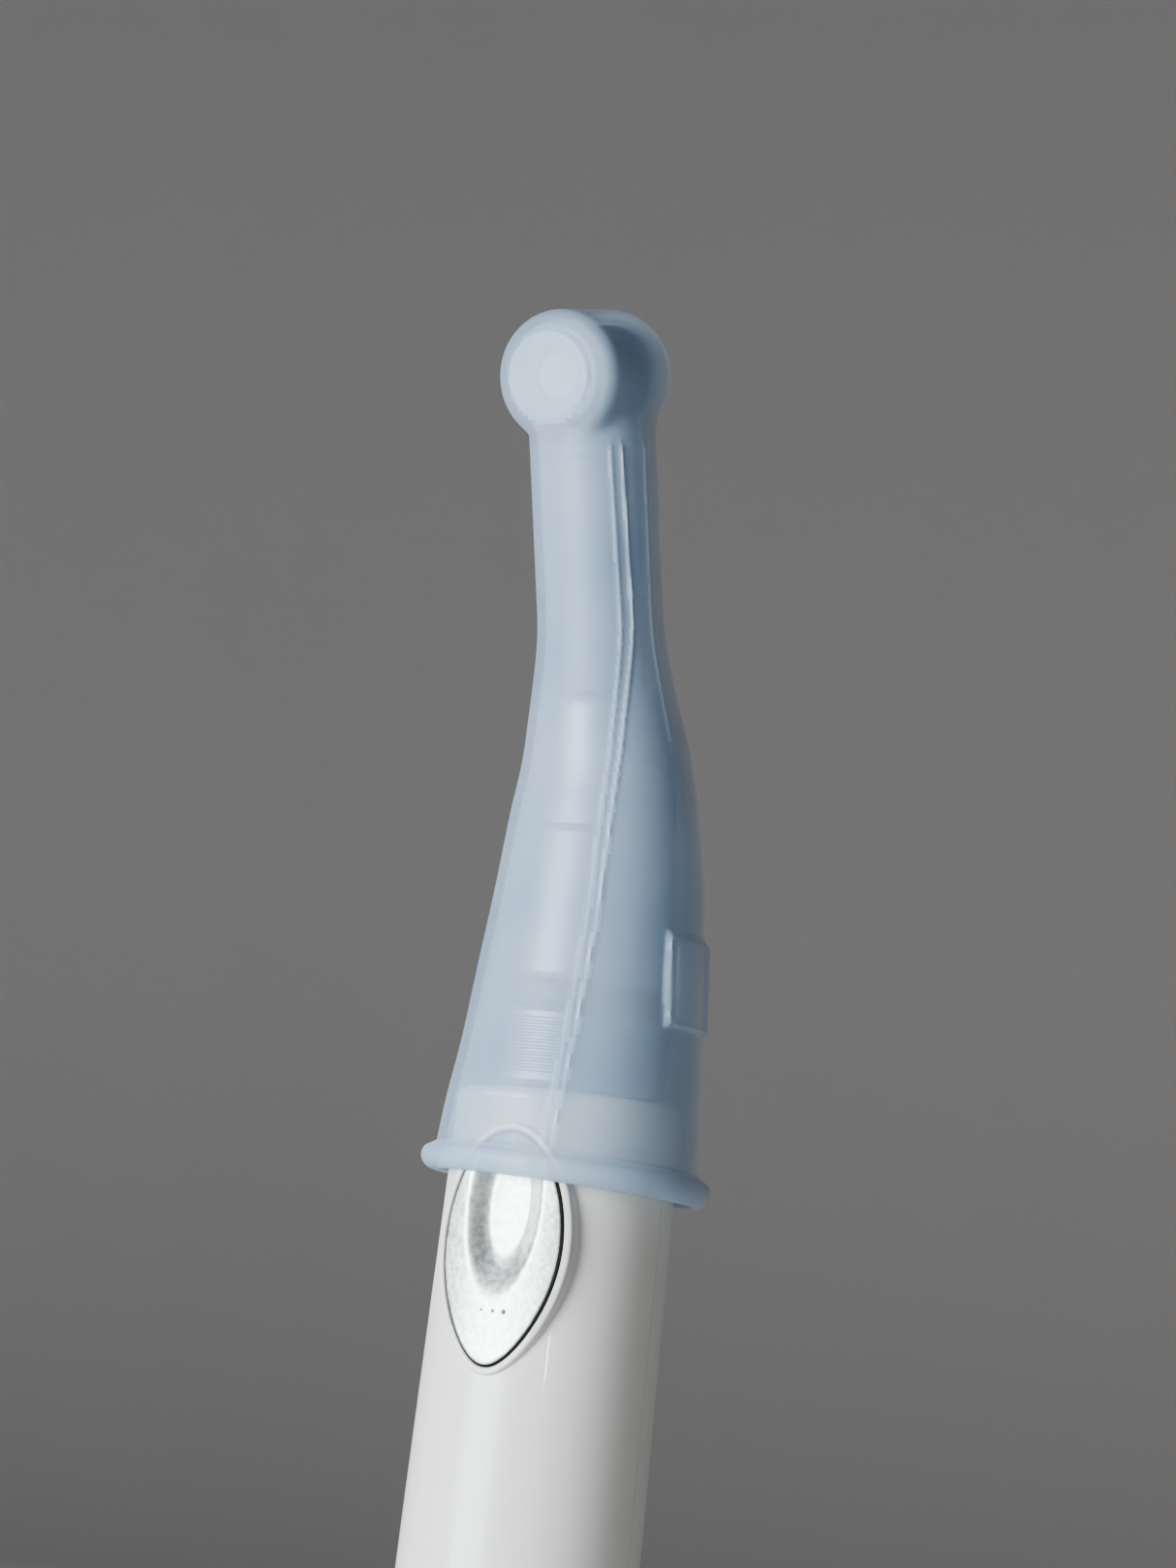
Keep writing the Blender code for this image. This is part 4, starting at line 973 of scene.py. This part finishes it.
class HANDPIECE_OT_silicone_sleeve(bpy.types.Operator):
    """Make the translucent silicone sleeve with its bead, ribs, plate and head"""
    bl_idname = "handpiece.silicone_sleeve"
    bl_label = "Silicone sleeve"

    def wall_rows(self, shape, columns, wall, heights, fan):
        """Rows of points up the sleeve and over its head, wall millimetres inside the outer form.

        The lifts say how far ribs and plate raise each point, and so where the silicone is thick.
        """
        angles = np.arange(columns) * 2 * pi / columns
        rows, lifts = [], []
        neck_back = np.cross(shape.neck, SIDE)
        out = outwards(angles, neck_back)
        for s in heights:
            if s < HEAD_ZONE:
                centre, tangent = centre_line(np.array([s]))
                back = np.cross(tangent[0], SIDE)
                origin, rays = centre[0] + back * shape.offset(s), outwards(angles, back)
                radius = shape.radius(s) - wall + 0 * angles
            else:
                origin, rays = shape.bend + s * shape.neck + 0 * out, out
                radius = shape.reach(origin, rays, wall)
            lifts.append(shape.detail(s + 0 * angles, angles, radius) if wall == 0 else 0 * angles)
            rows.append(origin + (radius + lifts[-1])[:, None] * rays)
        for lift in np.linspace(0, pi / 2, fan + 1)[1:-1]:
            ray = out * cos(lift) + shape.neck * sin(lift)
            origin = shape.head + 0 * ray
            rows.append(origin + shape.reach(origin, ray, wall)[:, None] * ray)
            lifts.append(0 * angles)
        top = shape.reach(shape.head[None, :], shape.neck[None, :], wall)[0]
        for row, lift in zip(rows, lifts):
            rel = row - shape.head
            lift += (rel @ shape.bur < PAD_FACE) & (np.abs(rel @ shape.rise) < PAD_REACH)
        return rows, lifts, shape.head + top * shape.neck

    def bead_rows(self, shape, columns, wall):
        """The rolled bead at the mouth, from the inner wall round to the skirt."""
        angles = np.arange(columns) * 2 * pi / columns
        _, tangent = centre_line(np.array([shape.mouth]))
        back = np.cross(tangent[0], SIDE)
        out = outwards(angles, back)
        rows = []
        middle = MOUTH_RADIUS - 0.5
        for turn in np.linspace(radians(205), radians(398), 26):
            radius = max(middle + BEAD_SIZE * cos(turn), MOUTH_RADIUS - wall)
            height = shape.mouth + BEAD_SIZE + BEAD_SIZE * sin(turn)
            where = np.array((0, 0, BEND_Z + height)) + back * shape.offset(height)
            rows.append(where + radius * out)
        return rows

    def execute(self, context):
        sizes = context.scene.sleeve_sizes
        shape = SleeveShape(sizes)
        columns = 216
        step = 0.42
        start = shape.mouth + 2 * BEAD_SIZE + 0.1
        outer_heights = np.arange(start, NECK_LENGTH, step)
        inner_heights = np.arange(start, NECK_LENGTH, 1.6)
        outer, outer_lifts, top = self.wall_rows(shape, columns, 0, outer_heights, 56)
        inner, inner_lifts, inner_top = self.wall_rows(shape, columns, sizes.wall, inner_heights, 20)
        bead = self.bead_rows(shape, columns, sizes.wall)
        rows = [shape.slant(row) for row in inner[::-1] + bead + outer]
        lifts = inner_lifts[::-1] + [np.ones(columns)] * len(bead) + outer_lifts
        points = [tuple(inner_top)]
        for row in rows:
            points += [tuple(point) for point in row]
        points.append(tuple(top))
        faces, thick = [], []
        for k in range(len(rows) - 1):
            a, b = 1 + k * columns, 1 + (k + 1) * columns
            faces += band(a, b, columns)
            lift = lifts[k] + lifts[k + 1]
            mean = (lift + np.roll(lift, -1)) / 4
            thick += list(mean > 0.3 * sizes.rib)
        faces += [(0, 1 + (i + 1) % columns, 1 + i) for i in range(columns)]
        last = 1 + (len(rows) - 1) * columns
        faces += [(last + i, last + (i + 1) % columns, len(points) - 1) for i in range(columns)]
        thick += [False] * (len(faces) - len(thick))
        sleeve = mm_mesh("milky_sleeve", points, faces, "silicone", ANGLE, "angle", "silicone_sleeve",
                         60, ("thick", thick))
        hole, sides = lathe([(0, 8), (BUR_HOLE, 8), (BUR_HOLE, 2.5), (0, 2.5)], 64)
        cut(sleeve, scratch_object("bur_hole", hole, sides, HEAD))
        sleeve.data.set_sharp_from_angle(angle=radians(60))
        return {'FINISHED'}


# Parts whose shape is kept, with the finish each one gets
KEPT_FINISHES = {
    "steel": ("battery_spring", "motor_can", "motor_rotor", "rear_shaft", "front_shaft", "chuck_spindle",
              "button_spring"),
    "bearing": ("motor_bearing_front", "motor_bearing_rear", "rear_shaft_bearing", "neck_bearing_low",
                "neck_bearing_top", "chuck_bearing_button_side", "chuck_bearing_bur_side"),
    "copper": ("motor_stator",),
    "gold": ("cell_bottom_contact", "cell_top_contact"),
    "nylon": ("cell_cradle", "motor_end_bell"),
    "epoxy": ("control_chip", "key_switch"),
    "wrap": ("battery_cell",),
    "board": ("circuit_board",),
    "lamp": ("status_lamp",),
}


class HANDPIECE_OT_inner_parts(bpy.types.Operator):
    """Give the parts inside the handle and the angle their finishes"""
    bl_idname = "handpiece.inner_parts"
    bl_label = "Inner parts"

    def execute(self, context):
        for finish, nodes in KEPT_FINISHES.items():
            for node in nodes:
                obj = frame["nodes"][node]
                for slot in obj.material_slots:
                    slot.material = MATERIALS[finish]
        return {'FINISHED'}


class HANDPIECE_OT_stage(bpy.types.Operator):
    """Make the floor that curves up into a backdrop, the lights and the camera"""
    bl_idname = "handpiece.stage"
    bl_label = "Stage"

    def execute(self, context):
        self.make_backdrop()
        self.make_lights()
        self.make_camera()
        return {'FINISHED'}

    def make_backdrop(self):
        """A round floor of 1.1 m that rises into a wall, pale below and mid grey above."""
        profile = [(0, 0)] + [(r, 0) for r in (200, 400, 600, 800, 900)]
        profile += [(900 + 250 * sin(a), 250 - 250 * cos(a)) for a in np.linspace(0, pi / 2, 17)[1:]]
        profile += [(1150, 900), (1150, 1600)]
        columns = 128
        points, faces = [], []
        for radius, height in profile[1:]:
            points += [(radius * cos(2 * pi * i / columns), radius * sin(2 * pi * i / columns), height)
                       for i in range(columns)]
        for k in range(len(profile) - 2):
            a, b = k * columns, (k + 1) * columns
            faces += band(a, b, columns)
        faces.append(tuple(range(columns)))
        mat, shader = new_material("painted_studio_wall", "#A9A8A8", 0.9)
        place = add_node(mat, "ShaderNodeTexCoord")
        height = add_node(mat, "ShaderNodeSeparateXYZ", Vector=place.outputs["Object"])
        rise = add_node(mat, "ShaderNodeMapRange", {"From Max": 0.03}, Value=height.outputs["Z"])
        tint(mat, shader, rise.outputs["Result"], "#DCDBD9", "#A29E9B", (0.0, 1.0))
        MATERIALS["stage"] = mat
        mm_mesh("studio_floor", points, faces, "stage", smooth=60)

    def make_lights(self):
        world = bpy.data.worlds.new("studio_air")
        world.use_nodes = True
        world.node_tree.nodes["Background"].inputs["Color"].default_value = hex_colour("#C9CDD2")
        world.node_tree.nodes["Background"].inputs["Strength"].default_value = 0.09
        bpy.context.scene.world = world
        lights = (("left_softbox", (-270, -610, 165), (380, 380), 13.4, "#F0F5FC"),
                  ("small_lamp", (269, -422, 126), (9, 9), 0.09, "#FFFFFF"),
                  ("back_edge", (-420, 420, 320), (260, 420), 0.6, "#EFF3F8"))
        for name, place, size, power, colour in lights:
            lamp = bpy.data.lights.new(name, 'AREA')
            lamp.shape = 'RECTANGLE'
            lamp.size, lamp.size_y = size[0] * MM, size[1] * MM
            lamp.energy = power
            lamp.color = hex_colour(colour)[:3]
            obj = bpy.data.objects.new(name, lamp)
            obj.location = Vector(place) * MM
            aim = Vector((0, 0, 150)) - Vector(place)
            obj.rotation_euler = aim.to_track_quat('-Z', 'Y').to_euler()
            bpy.context.scene.collection.objects.link(obj)

    def make_camera(self):
        azimuth, rise, roll, distance = radians(27.7), radians(-7.7), radians(6.5), 400
        target = Vector((0, 0, BEND_Z - 0.8))
        away = Vector((sin(azimuth) * cos(rise), -cos(azimuth) * cos(rise), sin(rise)))
        camera = bpy.data.cameras.new("camera")
        camera.lens = 100.7
        camera.sensor_width = 36
        camera.clip_start = 0.01
        obj = bpy.data.objects.new("camera", camera)
        look = (-away).to_track_quat('-Z', 'Y').to_matrix().to_4x4()
        right = look.to_3x3() @ Vector((1, 0, 0))
        place = target + away * distance - right * 1.7
        obj.matrix_world = Matrix.Translation(place * MM) @ look @ Matrix.Rotation(roll, 4, 'Z')
        bpy.context.scene.collection.objects.link(obj)
        bpy.context.scene.camera = obj


class HANDPIECE_PT_panel(bpy.types.Panel):
    """Lists the operators and the sizes"""
    bl_label = "Handpiece"
    bl_space_type = 'VIEW_3D'
    bl_region_type = 'UI'
    bl_category = "Handpiece"

    def draw(self, context):
        for step in STEPS:
            self.layout.operator(step.bl_idname)
        for group in (context.scene.handle_sizes, context.scene.sleeve_sizes, context.scene.finishes):
            box = self.layout.box()
            for name in group.__annotations__:
                box.prop(group, name)


STEPS = (HANDPIECE_OT_handle_shells, HANDPIECE_OT_thumb_key, HANDPIECE_OT_end_cap, HANDPIECE_OT_motor_nose,
         HANDPIECE_OT_contra_angle, HANDPIECE_OT_head, HANDPIECE_OT_silicone_sleeve, HANDPIECE_OT_inner_parts,
         HANDPIECE_OT_stage)
GROUPS = {"handle_sizes": HandleSizes, "sleeve_sizes": SleeveSizes, "finishes": Finishes}


def register():
    for group in GROUPS.values():
        bpy.utils.register_class(group)
    for name, group in GROUPS.items():
        setattr(bpy.types.Scene, name, PointerProperty(type=group))
    for item in (*STEPS, HANDPIECE_PT_panel):
        bpy.utils.register_class(item)


def unregister():
    for item in (HANDPIECE_PT_panel, *reversed(STEPS)):
        bpy.utils.unregister_class(item)
    for name, group in GROUPS.items():
        delattr(bpy.types.Scene, name)
        bpy.utils.unregister_class(group)


def main():
    register()
    make_materials(bpy.context.scene.finishes)
    bpy.ops.handpiece.handle_shells()
    bpy.ops.handpiece.thumb_key()
    bpy.ops.handpiece.end_cap()
    bpy.ops.handpiece.motor_nose()
    bpy.ops.handpiece.contra_angle()
    bpy.ops.handpiece.head()
    bpy.ops.handpiece.silicone_sleeve()
    bpy.ops.handpiece.inner_parts()
    bpy.ops.handpiece.stage()


if __name__ == "__main__":
    main()
